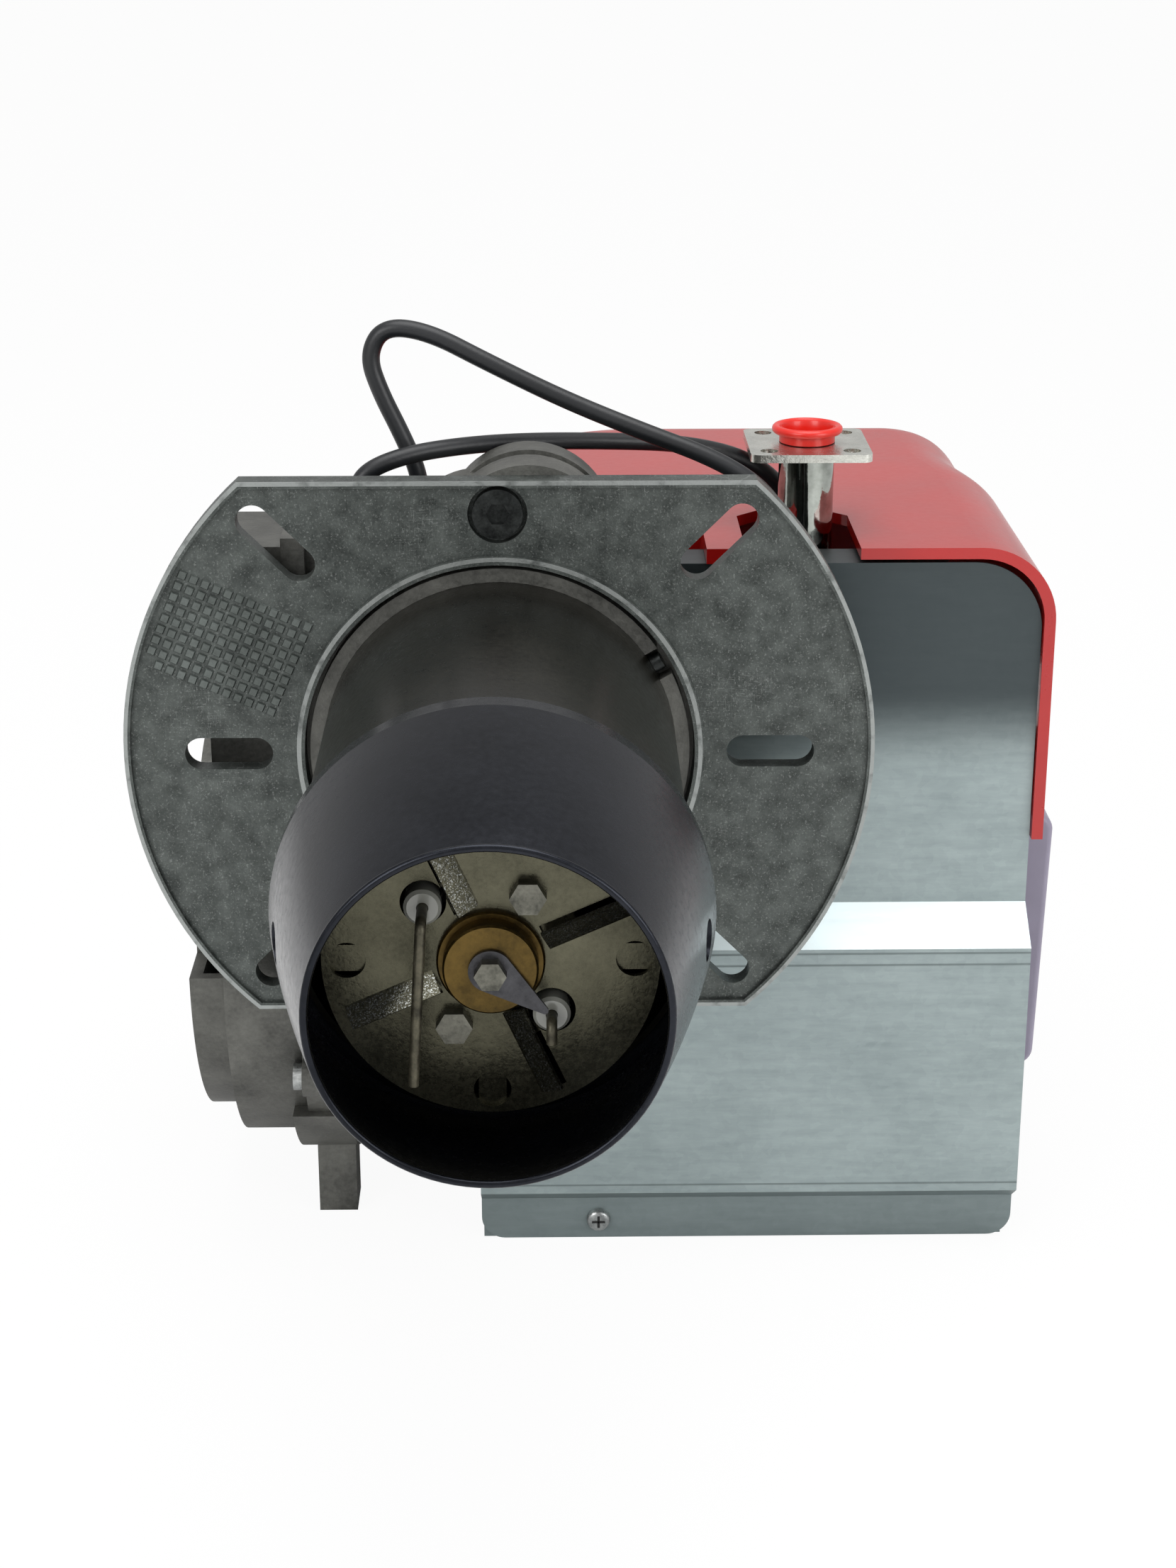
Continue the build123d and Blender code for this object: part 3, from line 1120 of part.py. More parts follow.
def build():
    whole = casing_whole()
    return {
        "mounting_flange": mounting_flange(),
        "flange_screw": flange_screw(),
        "blast_tube": blast_tube(),
        "tube_screw": tube_screw(),
        "flame_cone": flame_cone(),
        "diffuser_disc": diffuser_disc(),
        "head_spider": head_spider(),
        "disc_bolts": disc_bolts(),
        "gas_nozzle": gas_nozzle(),
        "spark_plate": spark_plate(),
        "nozzle_bolt": nozzle_bolt(),
        "gas_lance": gas_lance(),
        "ionisation_insulator": insulator(IONISATION_AT, IONISATION_FRONT),
        "ionisation_rod": bent_rod(IONISATION_AT, IONISATION_BEND_Y, IONISATION_TIP),
        "ignition_insulator": insulator(IGNITION_AT, IGNITION_FRONT),
        "ignition_rod": ignition_rod(),
        "electrode_clamp": electrode_clamp(),
        "fan_casing_right": casing_half(whole, (CASING_SPLIT, 100)),
        "fan_casing_left": casing_half(whole, (-150, CASING_SPLIT)),
        "casing_screws": casing_screws(),
        "fan_wheel": fan_wheel(),
        "motor_shaft": motor_shaft(),
        "motor_body": motor_body(),
        "motor_end_cap": motor_end_cap(),
        "capacitor": capacitor(),
        "intake_plate": intake_plate(),
        "air_shutter": air_shutter(),
        "shutter_pivot": shutter_pivot(),
        "gas_flange": gas_flange(),
        "gas_pipe": gas_pipe(),
        "gas_manifold": gas_manifold(),
        "manifold_screws": manifold_screws(),
        "transport_plug": transport_plug(),
        "front_panel": front_panel(),
        "base_plate": base_plate(),
        "panel_screw": panel_screw(),
        "cover": cover(),
        "cover_screw": cover_screw(),
        "control_bracket": control_bracket(),
        "control_box_base": control_box_base(),
        "control_box": control_box(),
        "reset_button": reset_button(),
        "mains_socket": mains_socket(),
        "ignition_transformer": ignition_transformer(),
        "switch_bracket": switch_bracket(),
        "air_pressure_switch": air_pressure_switch(),
        "switch_gland": gland(*SWITCH_GLAND, SWITCH_TOP),
        "casing_glands": casing_glands(),
        "gland_bracket": gland_bracket(),
        "panel_gland": gland(*PANEL_GLAND),
        "switch_lead": switch_lead(),
        "loop_lead": loop_lead(),
    }


os.makedirs("parts", exist_ok=True)
for node, shape in build().items():
    export_step(shape, f"parts/{node}.step")
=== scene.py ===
import logging
import math
from dataclasses import dataclass, field
from enum import Enum
from functools import cached_property, reduce
from typing import Any

import bmesh
import bpy
import numpy as np
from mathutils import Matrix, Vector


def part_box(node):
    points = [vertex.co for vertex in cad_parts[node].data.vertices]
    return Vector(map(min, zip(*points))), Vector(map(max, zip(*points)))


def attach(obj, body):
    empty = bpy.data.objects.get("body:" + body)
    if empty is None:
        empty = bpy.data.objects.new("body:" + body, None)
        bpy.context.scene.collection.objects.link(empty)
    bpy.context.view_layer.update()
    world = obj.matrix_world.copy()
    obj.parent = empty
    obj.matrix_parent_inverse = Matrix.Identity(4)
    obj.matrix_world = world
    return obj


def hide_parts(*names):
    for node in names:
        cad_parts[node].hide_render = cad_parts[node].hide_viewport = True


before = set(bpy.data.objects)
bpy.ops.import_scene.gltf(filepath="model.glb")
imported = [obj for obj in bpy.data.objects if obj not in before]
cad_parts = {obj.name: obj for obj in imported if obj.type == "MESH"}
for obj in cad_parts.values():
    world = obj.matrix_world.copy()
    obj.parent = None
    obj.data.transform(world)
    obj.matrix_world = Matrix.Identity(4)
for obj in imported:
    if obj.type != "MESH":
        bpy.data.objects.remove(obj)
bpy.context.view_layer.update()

LOG = logging.getLogger("gas_burner")
MM = 0.001
NOISE_MIDDLE = 0.5
SMOOTH_BELOW = 35.0     # degrees; an edge sharper than this stays an edge
TURN_STEPS = 120
BEAD_STEPS = (96, 16)   # round the axis, and round the section
PAD_TOP = 0.75          # size of a pad's top, as a share of its base
Colour = tuple[float, float, float]
Point = tuple[float, float, float]
Span = tuple[float, float]


def paint(red: int, green: int, blue: int) -> Colour:
    """Turn a colour chart's 0 to 255 values into the linear values that a shader takes.

    Args:
        red: Red on the chart.
        green: Green on the chart.
        blue: Blue on the chart.

    Returns:
        The linear colour.
    """
    chart = np.array([red, green, blue]) / 255
    linear = np.where(chart <= 0.04045, chart / 12.92, ((chart + 0.055) / 1.055) ** 2.4)
    return tuple(float(v) for v in linear)


# ---------------------------------------------------------------- shader maths
class Wire:
    """A shader socket on which arithmetic can be written."""

    def __init__(self, graph: "Graph", socket: bpy.types.NodeSocket) -> None:
        """Hold the socket and the graph that it belongs to."""
        self.graph = graph
        self.socket = socket

    def _math(self, operation: str, *values: Any) -> "Wire":
        """Add a Math node for an operation on the given values."""
        node = self.graph.node("ShaderNodeMath", {"operation": operation}, dict(enumerate(values)))
        return self.graph.out(node)

    def __add__(self, other: Any) -> "Wire":
        """Sum."""
        return self._math("ADD", self, other)

    __radd__ = __add__

    def __mul__(self, other: Any) -> "Wire":
        """Product."""
        return self._math("MULTIPLY", self, other)

    __rmul__ = __mul__

    def __sub__(self, other: Any) -> "Wire":
        """Difference."""
        return self._math("SUBTRACT", self, other)

    def __rsub__(self, other: Any) -> "Wire":
        """Difference from a number."""
        return self._math("SUBTRACT", other, self)

    def __gt__(self, other: Any) -> "Wire":
        """1 where this is the greater."""
        return self._math("GREATER_THAN", self, other)

    def __lt__(self, other: Any) -> "Wire":
        """1 where this is the smaller."""
        return self._math("LESS_THAN", self, other)

    def root(self) -> "Wire":
        """Square root."""
        return self._math("SQRT", self)

    def size(self) -> "Wire":
        """Absolute value."""
        return self._math("ABSOLUTE", self)

    def larger(self, other: Any) -> "Wire":
        """The larger of two values."""
        return self._math("MAXIMUM", self, other)

    def step(self, low: float, high: float) -> "Wire":
        """Rise smoothly from 0 at low to 1 at high.

        Args:
            low: Where the rise starts.
            high: Where the rise ends.

        Returns:
            The eased value.
        """
        node = self.graph.node(
            "ShaderNodeMapRange", {"interpolation_type": "SMOOTHSTEP", "clamp": True},
            {"Value": self, "From Min": low, "From Max": high})
        return self.graph.out(node)


class Graph:
    """The node tree of a material or of the sky, with the few calls that they need."""

    def __init__(self, owner: bpy.types.Material | bpy.types.World) -> None:
        """Empty the owner's tree.

        Args:
            owner: The material or world that the tree belongs to.
        """
        owner.use_nodes = True
        self.owner = owner
        self.tree = owner.node_tree
        self.tree.nodes.clear()

    def node(self, kind: str, settings: dict[str, Any] | None = None,
             inputs: dict[Any, Any] | None = None) -> bpy.types.Node:
        """Add a node, set its settings, then its sockets.

        Args:
            kind: The node's type.
            settings: Attributes to set first; "stops" fills a colour ramp.
            inputs: Values or wires by socket name or number.

        Returns:
            The node.
        """
        node = self.tree.nodes.new(kind)
        for key, value in (settings or {}).items():
            if key == "stops":
                self._fill_ramp(node.color_ramp, value)
            else:
                setattr(node, key, value)
        for key, value in (inputs or {}).items():
            if isinstance(value, Wire):
                self.tree.links.new(value.socket, node.inputs[key])
            elif isinstance(value, tuple) and len(value) == 3 and node.inputs[key].type == "RGBA":
                node.inputs[key].default_value = (*value, 1.0)
            else:
                node.inputs[key].default_value = value
        return node

    @staticmethod
    def _fill_ramp(ramp: bpy.types.ColorRamp, stops: list[tuple[float, Colour]]) -> None:
        """Set a new ramp's two stops."""
        for element, (place, colour) in zip(ramp.elements, stops):
            element.position, element.color = place, (*colour, 1.0)

    def out(self, node: bpy.types.Node, name: str | int = 0) -> Wire:
        """Wrap one output of a node."""
        return Wire(self, node.outputs[name])

    @cached_property
    def place(self) -> Wire:
        """Object coordinates, from one node that every pattern shares."""
        return self.out(self.node("ShaderNodeTexCoord"), "Object")

    def axes(self) -> tuple[Wire, Wire, Wire]:
        """Object coordinates split into X, Y and Z."""
        split = self.node("ShaderNodeSeparateXYZ", None, {0: self.place})
        return tuple(self.out(split, name) for name in ("X", "Y", "Z"))

    def stretched(self, scale: Point) -> Wire:
        """Object coordinates with each axis scaled."""
        return self.out(self.node("ShaderNodeMapping", None, {"Vector": self.place, "Scale": scale}))

    def noise(self, scale: float, detail: float = 4.0, rough: float = 0.55,
              vector: Wire | None = None) -> Wire:
        """Noise between 0 and 1.

        Args:
            scale: Repeats in a metre.
            detail: Octaves.
            rough: Weight of the finer octaves.
            vector: Coordinates, or None for the object's own.

        Returns:
            The noise value.
        """
        node = self.node("ShaderNodeTexNoise", None, {
            "Vector": vector or self.place, "Scale": scale, "Detail": detail, "Roughness": rough})
        return self.out(node, "Fac")

    def cells(self, scale: float) -> Wire:
        """A grey level for each cell of a Voronoi pattern.

        Args:
            scale: Cells in a metre.

        Returns:
            The grey level.
        """
        node = self.node("ShaderNodeTexVoronoi", None, {"Vector": self.place, "Scale": scale})
        split = self.node("ShaderNodeSeparateColor", None, {0: self.out(node, "Color")})
        return self.out(split, 0)

    def ramp(self, value: Wire, span: Span, low: Colour, high: Colour) -> Wire:
        """Colours along a value, from low at the span's start to high at its end."""
        stops = list(zip(span, (low, high)))
        return self.out(self.node("ShaderNodeValToRGB", {"stops": stops}, {"Fac": value}), "Color")

    def mix(self, share: Wire | float, first: Any, second: Any) -> Wire:
        """Blend two colours."""
        node = self.node("ShaderNodeMix", {"data_type": "RGBA"}, {0: share, 6: first, 7: second})
        return self.out(node, 2)

    def bump(self, height: Wire, depth: float) -> Wire:
        """Turn a height from 0 to 1 into a normal; depth is how far 1 stands up, in metres."""
        return self.out(self.node("ShaderNodeBump", None, {"Height": height, "Distance": depth}))

    def close(self, **sockets: Any) -> bpy.types.Material:
        """Finish with a Principled surface.

        Args:
            **sockets: Socket names with _ for a space, and their values or wires.

        Returns:
            The material.
        """
        named = {key.replace("_", " "): value for key, value in sockets.items()}
        shader = self.node("ShaderNodeBsdfPrincipled", None, named)
        self.node("ShaderNodeOutputMaterial", None, {0: self.out(shader)})
        return self.owner


# ---------------------------------------------------------------- finishes
@dataclass(frozen=True)
class Scratches:
    """Fine lines in two directions: each shows where a stretched noise is near its middle."""

    scale: float = 55
    stretches: tuple[Point, Point] = ((24.0, 1.0, 1.5), (1.5, 1.0, 24.0))
    width: Span = (0.002, 0.008)
    patch_scale: float = 30
    patch_span: Span = (0.52, 0.62)

    def mask(self, graph: Graph) -> Wire:
        """Draw the lines and break them up into patches.

        Args:
            graph: Takes the nodes.

        Returns:
            The lines' mask.
        """
        lines = [graph.noise(self.scale, 2, 0.5, graph.stretched(stretch)) for stretch in self.stretches]
        thin = [1 - (line - NOISE_MIDDLE).size().step(*self.width) for line in lines]
        return (thin[0] + thin[1]) * graph.noise(self.patch_scale, 3).step(*self.patch_span)


@dataclass(frozen=True)
class Speckle:
    """Pale specks and scratches with dark pits between them."""

    share: float
    speck: Colour = paint(150, 154, 151)
    speck_scale: float = 1500
    speck_span: Span = (0.56, 0.66)
    pit: Colour = paint(40, 43, 42)
    pit_scale: float = 700
    pit_span: Span = (0.6, 0.7)
    scratches: Scratches = Scratches()

    def over(self, graph: Graph, base: Wire) -> Wire:
        """Lay the speckle over a colour.

        Args:
            graph: Takes the nodes.
            base: The colour under it.

        Returns:
            The speckled colour.
        """
        specks = graph.noise(self.speck_scale, 3, 0.75).step(*self.speck_span)
        base = graph.mix((specks + self.scratches.mask(graph)) * self.share, base, self.speck)
        pits = graph.noise(self.pit_scale, 4, 0.7).step(*self.pit_span)
        return graph.mix(pits * self.share, base, self.pit)


@dataclass(frozen=True)
class Metal:
    """Bare or plated metal with clouding, fine grain and small dents."""

    name: str
    dark: Colour
    light: Colour
    metallic: float = 0.75
    rough: float = 0.42
    spread: float = 0.18
    cloud: float = 38.0
    grain: float = 900.0
    grain_depth: float = 0.00006
    bright: Colour = paint(214, 218, 217)
    speckle: Speckle | None = None
    tones: Span = (0.36, 0.66)
    cloud_share: float = 0.75
    grain_rough: float = 0.25
    rubbed_smooth: float = 0.12

    def wear_and_highlight(self, graph: Graph) -> Wire | None:
        """Mask of bright marks, real wear on the disc and a painted highlight on the flange; none on plain
        metal.
        """
        return None

    def build(self) -> bpy.types.Material:
        """Build the material.

        Returns:
            The material.
        """
        graph = Graph(bpy.data.materials.new(self.name))
        cloud = graph.noise(self.cloud, 6, 0.62)
        grain = graph.noise(self.grain, 3, 0.6)
        tone = cloud * self.cloud_share + grain * (1 - self.cloud_share)
        base = graph.ramp(tone, self.tones, self.dark, self.light)
        if self.speckle is not None:
            base = self.speckle.over(graph, base)
        rough = (self.rough + self.spread * (cloud - NOISE_MIDDLE)
                 + self.grain_rough * (grain - NOISE_MIDDLE))
        wear_and_highlight = self.wear_and_highlight(graph)
        if wear_and_highlight is not None:
            # Bright colour where the mask is set: real wear on the disc, painted highlight on the flange.
            base = graph.mix(wear_and_highlight, base, self.bright)
            rough = rough - wear_and_highlight * self.rubbed_smooth
        normal = graph.bump(grain + cloud, self.grain_depth)
        return graph.close(Base_Color=base, Metallic=self.metallic, Roughness=rough, Normal=normal)


@dataclass(frozen=True)
class FlangeCasting(Metal):
    """Die-cast flange with a painted highlight along its raised rim and bore ring."""

    radius: float = 113 * MM
    half_height: float = 83.8 * MM
    ring: float = 60.4 * MM
    rim: float = 1.2 * MM
    ring_share: float = 0.55
    behind: float = 0.0008
    patch_scale: float = 160
    patch_span: Span = (0.2, 0.52)
    wear_and_highlight_share: float = 0.85

    def wear_and_highlight(self, graph: Graph) -> Wire:
        """Painted highlight: bright where the distance from the axis, or the height, is within the rim's
        width of an edge.

        Args:
            graph: Takes the nodes.

        Returns:
            The mask, which is 0 behind the front face.
        """
        x, y, z = graph.axes()
        far = (x * x + z * z).root()
        outer = (far > self.radius - self.rim).larger(z.size() > self.half_height - self.rim)
        bore = (far - self.ring).size() < self.rim * self.ring_share
        front = y < self.behind
        patchy = graph.noise(self.patch_scale, 3).step(*self.patch_span)
        return (outer.larger(bore) * front) * patchy * self.wear_and_highlight_share


@dataclass(frozen=True)
class SwirlDisc(Metal):
    """Heat-tinted disc whose bent-out vanes are scoured bright."""

    front: float = -152.9 * MM
    clear: float = 0.00025
    fleck_scale: float = 2600
    fleck_span: Span = (0.52, 0.64)
    wear_and_highlight_share: float = 0.4

    def wear_and_highlight(self, graph: Graph) -> Wire:
        """Bright specks on what stands out of the disc's front.

        Args:
            graph: Takes the nodes.

        Returns:
            The mask.
        """
        _, y, _ = graph.axes()
        flecks = graph.noise(self.fleck_scale, 2, 0.7).step(*self.fleck_span)
        return (y < self.front - self.clear) * flecks * self.wear_and_highlight_share


@dataclass(frozen=True)
class GalvanisedSheet(Metal):
    """Zinc sheet with faint spangle and pressed bend lines, and painted light: painted shade at the top, on
    the bottom lip and along the bends, and a painted highlight on the joggle band.
    """

    tones: Span = (0.25, 0.75)
    spangle: float = 420
    streak: float = 240
    streak_stretch: Point = (0.25, 1.0, 1.6)
    shares: tuple[float, float, float] = (0.5, 0.08, 0.42)
    tone_rough: float = 0.2
    # Painted shade: the top of the sheet is darkened in colour, for the dark surroundings that it reflects
    # there.
    shade_from: float = 5 * MM
    shade_to: float = -25 * MM
    painted_shade: Colour = paint(40, 48, 51)
    painted_shade_share: float = 0.9
    lip_top: float = -166.0 * MM
    # Colour of the painted shade on the bottom lip.
    lip: Colour = paint(88, 98, 99)
    lip_shade_share: float = 0.5
    joggle_top: float = -67.8 * MM
    joggle_bottom: float = -78.1 * MM
    # Colour of the painted highlight on the joggle band.
    joggle_highlight: Colour = paint(226, 238, 240)
    joggle_highlight_share: float = 0.7
    bends: tuple[float, ...] = (-79.6 * MM, -83.6 * MM, -163.0 * MM)
    bend_span: Span = (0.0001, 0.0005)
    # Colour of the painted shade along the bend lines.
    bend_shade: Colour = paint(70, 80, 80)
    bend_shade_share: float = 0.55
    bend_sink: float = 2
    skin_depth: float = 0.00005

    def build(self) -> bpy.types.Material:
        """Build the material.

        Returns:
            The material.
        """
        graph = Graph(bpy.data.materials.new(self.name))
        _, _, z = graph.axes()
        spangle = graph.cells(self.spangle)
        cloud = graph.noise(self.cloud, 5)
        streak = graph.noise(self.streak, 3, 0.6, graph.stretched(self.streak_stretch))
        cloudy, spangled, streaked = self.shares
        tone = cloud * cloudy + spangle * spangled + streak * streaked
        base = graph.ramp(tone, self.tones, self.dark, self.light)
        # Painted shade: darker towards the top of the sheet.
        base = graph.mix(z.step(self.shade_to, self.shade_from) * self.painted_shade_share, base, self.painted_shade)
        # Painted shade: the bottom lip, below lip_top, is mixed towards a darker tone.
        base = graph.mix((z < self.lip_top) * self.lip_shade_share, base, self.lip)
        # Painted highlight: a pale band on the joggle's upward-facing slope, where light from above falls.
        joggle_highlight = (z < self.joggle_top) * (z > self.joggle_bottom)
        base = graph.mix(joggle_highlight * self.joggle_highlight_share, base, self.joggle_highlight)
        # Painted shade: dark lines along the pressed bends; the bump that follows is the real crease.
        lines = [1 - (z - height).size().step(*self.bend_span) for height in self.bends]
        line = reduce(Wire.larger, lines)
        base = graph.mix(line * self.bend_shade_share, base, self.bend_shade)
        normal = graph.bump(streak - line * self.bend_sink, self.skin_depth)
        rough = self.rough + self.tone_rough * (tone - NOISE_MIDDLE)
        return graph.close(Base_Color=base, Metallic=self.metallic, Roughness=rough, Normal=normal)


@dataclass(frozen=True)
class Moulded:
    """Plastic, rubber, glaze or enamel: a nearly even colour with a fine skin."""

    name: str
    colour: Colour
    rough: float = 0.4
    coat: float = 0.0
    skin: float = 1400.0
    skin_depth: float = 0.00003
    variation: float = 0.12
    cloud: float = 26
    tones: Span = (0.35, 0.65)
    cloud_rough: float = 0.1
    skin_rough: float = 0.08
    coat_rough: float = 0.06

    def build(self) -> bpy.types.Material:
        """Build the material.

        Returns:
            The material.
        """
        graph = Graph(bpy.data.materials.new(self.name))
        cloud = graph.noise(self.cloud, 4)
        skin = graph.noise(self.skin, 3)
        deep = tuple(v * (1 - self.variation) for v in self.colour)
        lift = tuple(min(1.0, v * (1 + self.variation)) for v in self.colour)
        base = graph.ramp(cloud, self.tones, deep, lift)
        rough = (self.rough + self.cloud_rough * (cloud - NOISE_MIDDLE)
                 + self.skin_rough * (skin - NOISE_MIDDLE))
        normal = graph.bump(skin, self.skin_depth)
        return graph.close(Base_Color=base, Roughness=rough, Normal=normal,
                           Coat_Weight=self.coat, Coat_Roughness=self.coat_rough)


class Finish(Enum):
    """The finishes of the burner's pieces."""

    # The flange's bright colour is its painted rim highlight.
    FLANGE = FlangeCasting("flange_casting", paint(52, 56, 54), paint(92, 97, 94), 0.6, 0.46, 0.2, 150, 1400,
                           0.0001, bright=paint(158, 162, 160), speckle=Speckle(0.4))
    # Painted light: the date grid's pads are lighter than the flange they are cast with, so the gaps between
    # them read as shade.
    LIT_GRID = Metal("date_grid_lit_casting", paint(70, 75, 72), paint(104, 110, 107), 0.6, 0.42, 0.2, 60, 1100,
                 0.00008)
    CASTING = Metal("body_casting", paint(62, 62, 59), paint(112, 112, 107), 0.5, 0.5, 0.2, 34, 700,
                    0.00014)
    TUBE = Metal("tube_steel", paint(30, 29, 25), paint(58, 56, 49), 0.85, 0.32, 0.14, 14, 500)
    CONE = Metal("cone_steel", paint(26, 28, 33), paint(44, 46, 52), 0.85, 0.25, 0.1, 12, 500, 0.00002)
    DISC = SwirlDisc("disc_stainless", paint(44, 43, 34), paint(96, 94, 78), 0.9, 0.27, 0.2, 24, 900)
    BRASS = Metal("nozzle_brass", paint(58, 47, 24), paint(104, 84, 43), 0.9, 0.34, 0.2, 90, 900)
    SPARK = Metal("spark_steel", paint(46, 46, 48), paint(84, 84, 87), 0.85, 0.38, 0.2, 120, 900)
    ZINC = Metal("screw_zinc", paint(128, 131, 131), paint(198, 200, 198), 0.9, 0.32, 0.2, 160, 1200)
    HEAD_BOLT = Metal("head_bolt_steel", paint(66, 66, 60), paint(128, 127, 117), 0.85, 0.36, 0.2, 160, 1200)
    BLACK_STEEL = Metal("screw_black", paint(30, 32, 32), paint(66, 69, 68), 0.8, 0.38, 0.2, 180, 1300)
    CHROME = Metal("pipe_chrome", paint(128, 132, 126), paint(184, 188, 182), 1.0, 0.08, 0.05, 60, 260,
                   0.00004)
    PLATED = Metal("flange_zinc", paint(186, 186, 178), paint(222, 222, 214), 0.95, 0.24, 0.14, 90, 800,
                   0.0001)
    HOT_WIRE = Metal("electrode_wire", paint(50, 48, 39), paint(104, 100, 84), 0.7, 0.45, 0.2, 200, 1500)
    SHEET = GalvanisedSheet("galvanised_sheet", paint(128, 140, 141), paint(162, 174, 174), 0.6, 0.4, 0.16,
                            22, 500)
    CERAMIC = Moulded("glazed_ceramic", paint(132, 133, 126), 0.18, 0.7)
    ENAMEL = Moulded("cover_enamel", paint(166, 12, 9), 0.3, 0.35, 420.0, 0.00002, 0.06)
    PLUG = Moulded("plug_polythene", paint(212, 30, 16), 0.34, 0.2, 900.0, 0.00003, 0.08)
    LILAC = Moulded("box_plastic", paint(138, 132, 150), 0.42, 0.0)
    BUTTON = Moulded("button_plastic", paint(190, 24, 20), 0.25, 0.4)
    BLACK = Moulded("black_plastic", paint(34, 35, 37), 0.45, 0.0)
    LEAD = Moulded("lead_sheath", paint(20, 22, 25), 0.4, 0.0, 700.0, 0.00005, 0.2)
    MOTOR = Moulded("motor_paint", paint(40, 41, 44), 0.4, 0.2, 600.0, 0.00006, 0.15)
    # Painted shade: near-black for the shaded cross recess of the panel screw.
    RECESS_SHADE = Moulded("screw_recess_shade", paint(12, 12, 12), 0.7)


class Workshop:
    """Makes each finish once and puts it on pieces."""

    def __init__(self) -> None:
        """Start with no finish made."""
        self.made: dict[Finish, bpy.types.Material] = {}

    def material(self, finish: Finish) -> bpy.types.Material:
        """Give the material of a finish, made at its first use.

        Args:
            finish: The finish.

        Returns:
            The material.
        """
        if finish not in self.made:
            self.made[finish] = finish.value.build()
        return self.made[finish]

    def dress(self, piece: bpy.types.Object, finish: Finish) -> None:
        """Put one finish on all of a piece."""
        piece.data.materials.clear()
        piece.data.materials.append(self.material(finish))

    def dress_nodes(self, finish: Finish, *nodes: str) -> None:
        """Put a finish on CAD nodes.

        Args:
            finish: The finish.
            *nodes: The nodes' names.
        """
        for node in nodes:
            self.dress(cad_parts[node], finish)
            LOG.info("dressed %s as %s", node, finish.name)


# ---------------------------------------------------------------- surfaces
def placed_mesh(name: str, points: np.ndarray, quads: np.ndarray,
                crease: float | None) -> bpy.types.Object:
    """Make an object from points and quads, with its faces turned outwards.

    Args:
        name: The piece's name.
        points: Array of shape (count, 3), in metres.
        quads: Array of shape (count, 4), of point numbers.
        crease: Smooth shading with sharp edges above this many degrees, or None for flat faces.

    Returns:
        The new object.
    """
    mesh = bpy.data.meshes.new(name)
    mesh.from_pydata(points.reshape(-1, 3).tolist(), [], quads.reshape(-1, 4).tolist())
    form = bmesh.new()
    form.from_mesh(mesh)
    bmesh.ops.recalc_face_normals(form, faces=form.faces)
    form.to_mesh(mesh)
    form.free()
    if crease is not None:
        mesh.polygons.foreach_set("use_smooth", np.ones(len(mesh.polygons), dtype=bool))
        mesh.set_sharp_from_angle(angle=math.radians(crease))
    mesh.update()
    piece = bpy.data.objects.new(name, mesh)
    bpy.context.scene.collection.objects.link(piece)
    return piece


def lattice_mesh(name: str, points: np.ndarray, close_u: bool, close_v: bool) -> bpy.types.Object:
    """Make a mesh from a grid of points, one quad for each cell.

    Args:
        name: The piece's name.
        points: Array of shape (rows, columns, 3), in metres.
        close_u: Join the last row to the first.
        close_v: Join the last column to the first.

    Returns:
        The new object, with faces that point along d/du x d/dv.
    """
    rows, columns, _ = points.shape
    i = np.arange(rows if close_u else rows - 1)
    j = np.arange(columns if close_v else columns - 1)
    ii, jj = np.meshgrid(i, j, indexing="ij")
    down, across = (ii + 1) % rows, (jj + 1) % columns
    quads = np.stack([ii * columns + jj, down * columns + jj,
                      down * columns + across, ii * columns + across], -1)
    return placed_mesh(name, points, quads, SMOOTH_BELOW)


class Axis(Enum):
    """The axis that a profile is turned about."""

    Y = 1
    Z = 2


def turned(name: str, centre: Point, axis: Axis, profile: list[tuple[float, float]]) -> bpy.types.Object:
    """Turn a closed profile about an axis.

    A point is the centre, plus the profile's radius turned by u, plus its height along the axis.

    Args:
        name: The piece's name.
        centre: A point on the axis, from which heights are measured.
        axis: The axis to turn about.
        profile: Radius and height of each corner, as a closed loop that stays off the axis.

    Returns:
        The turned piece.
    """
    corners = np.array(profile)
    u = np.linspace(0, 2 * np.pi, TURN_STEPS, endpoint=False)[:, None]
    flat = [corners[:, 0] * np.cos(u), corners[:, 0] * np.sin(u)]
    height = np.broadcast_to(corners[:, 1], flat[0].shape)
    places = {Axis.Y: (flat[0], height, flat[1]), Axis.Z: (flat[0], flat[1], height)}[axis]
    return lattice_mesh(name, np.stack(places, -1) + np.array(centre), True, True)


def ring_about_y(name: str, centre: Point, radius: float, thick: float) -> bpy.types.Object:
    """Make a torus about the Y axis.

    A point is the centre, plus the ring's radius turned by u, plus a circle of radius thick turned by v.

    Args:
        name: The piece's name.
        centre: The ring's centre.
        radius: Radius of the ring's middle line.
        thick: Radius of its section.

    Returns:
        The ring.
    """
    round_axis, round_section = (np.linspace(0, 2 * np.pi, steps, endpoint=False) for steps in BEAD_STEPS)
    u, v = np.meshgrid(round_axis, round_section, indexing="ij")
    reach = radius + thick * np.cos(v)
    points = np.stack([reach * np.cos(u), -thick * np.sin(v), reach * np.sin(u)], -1)
    return lattice_mesh(name, points + np.array(centre), True, True)


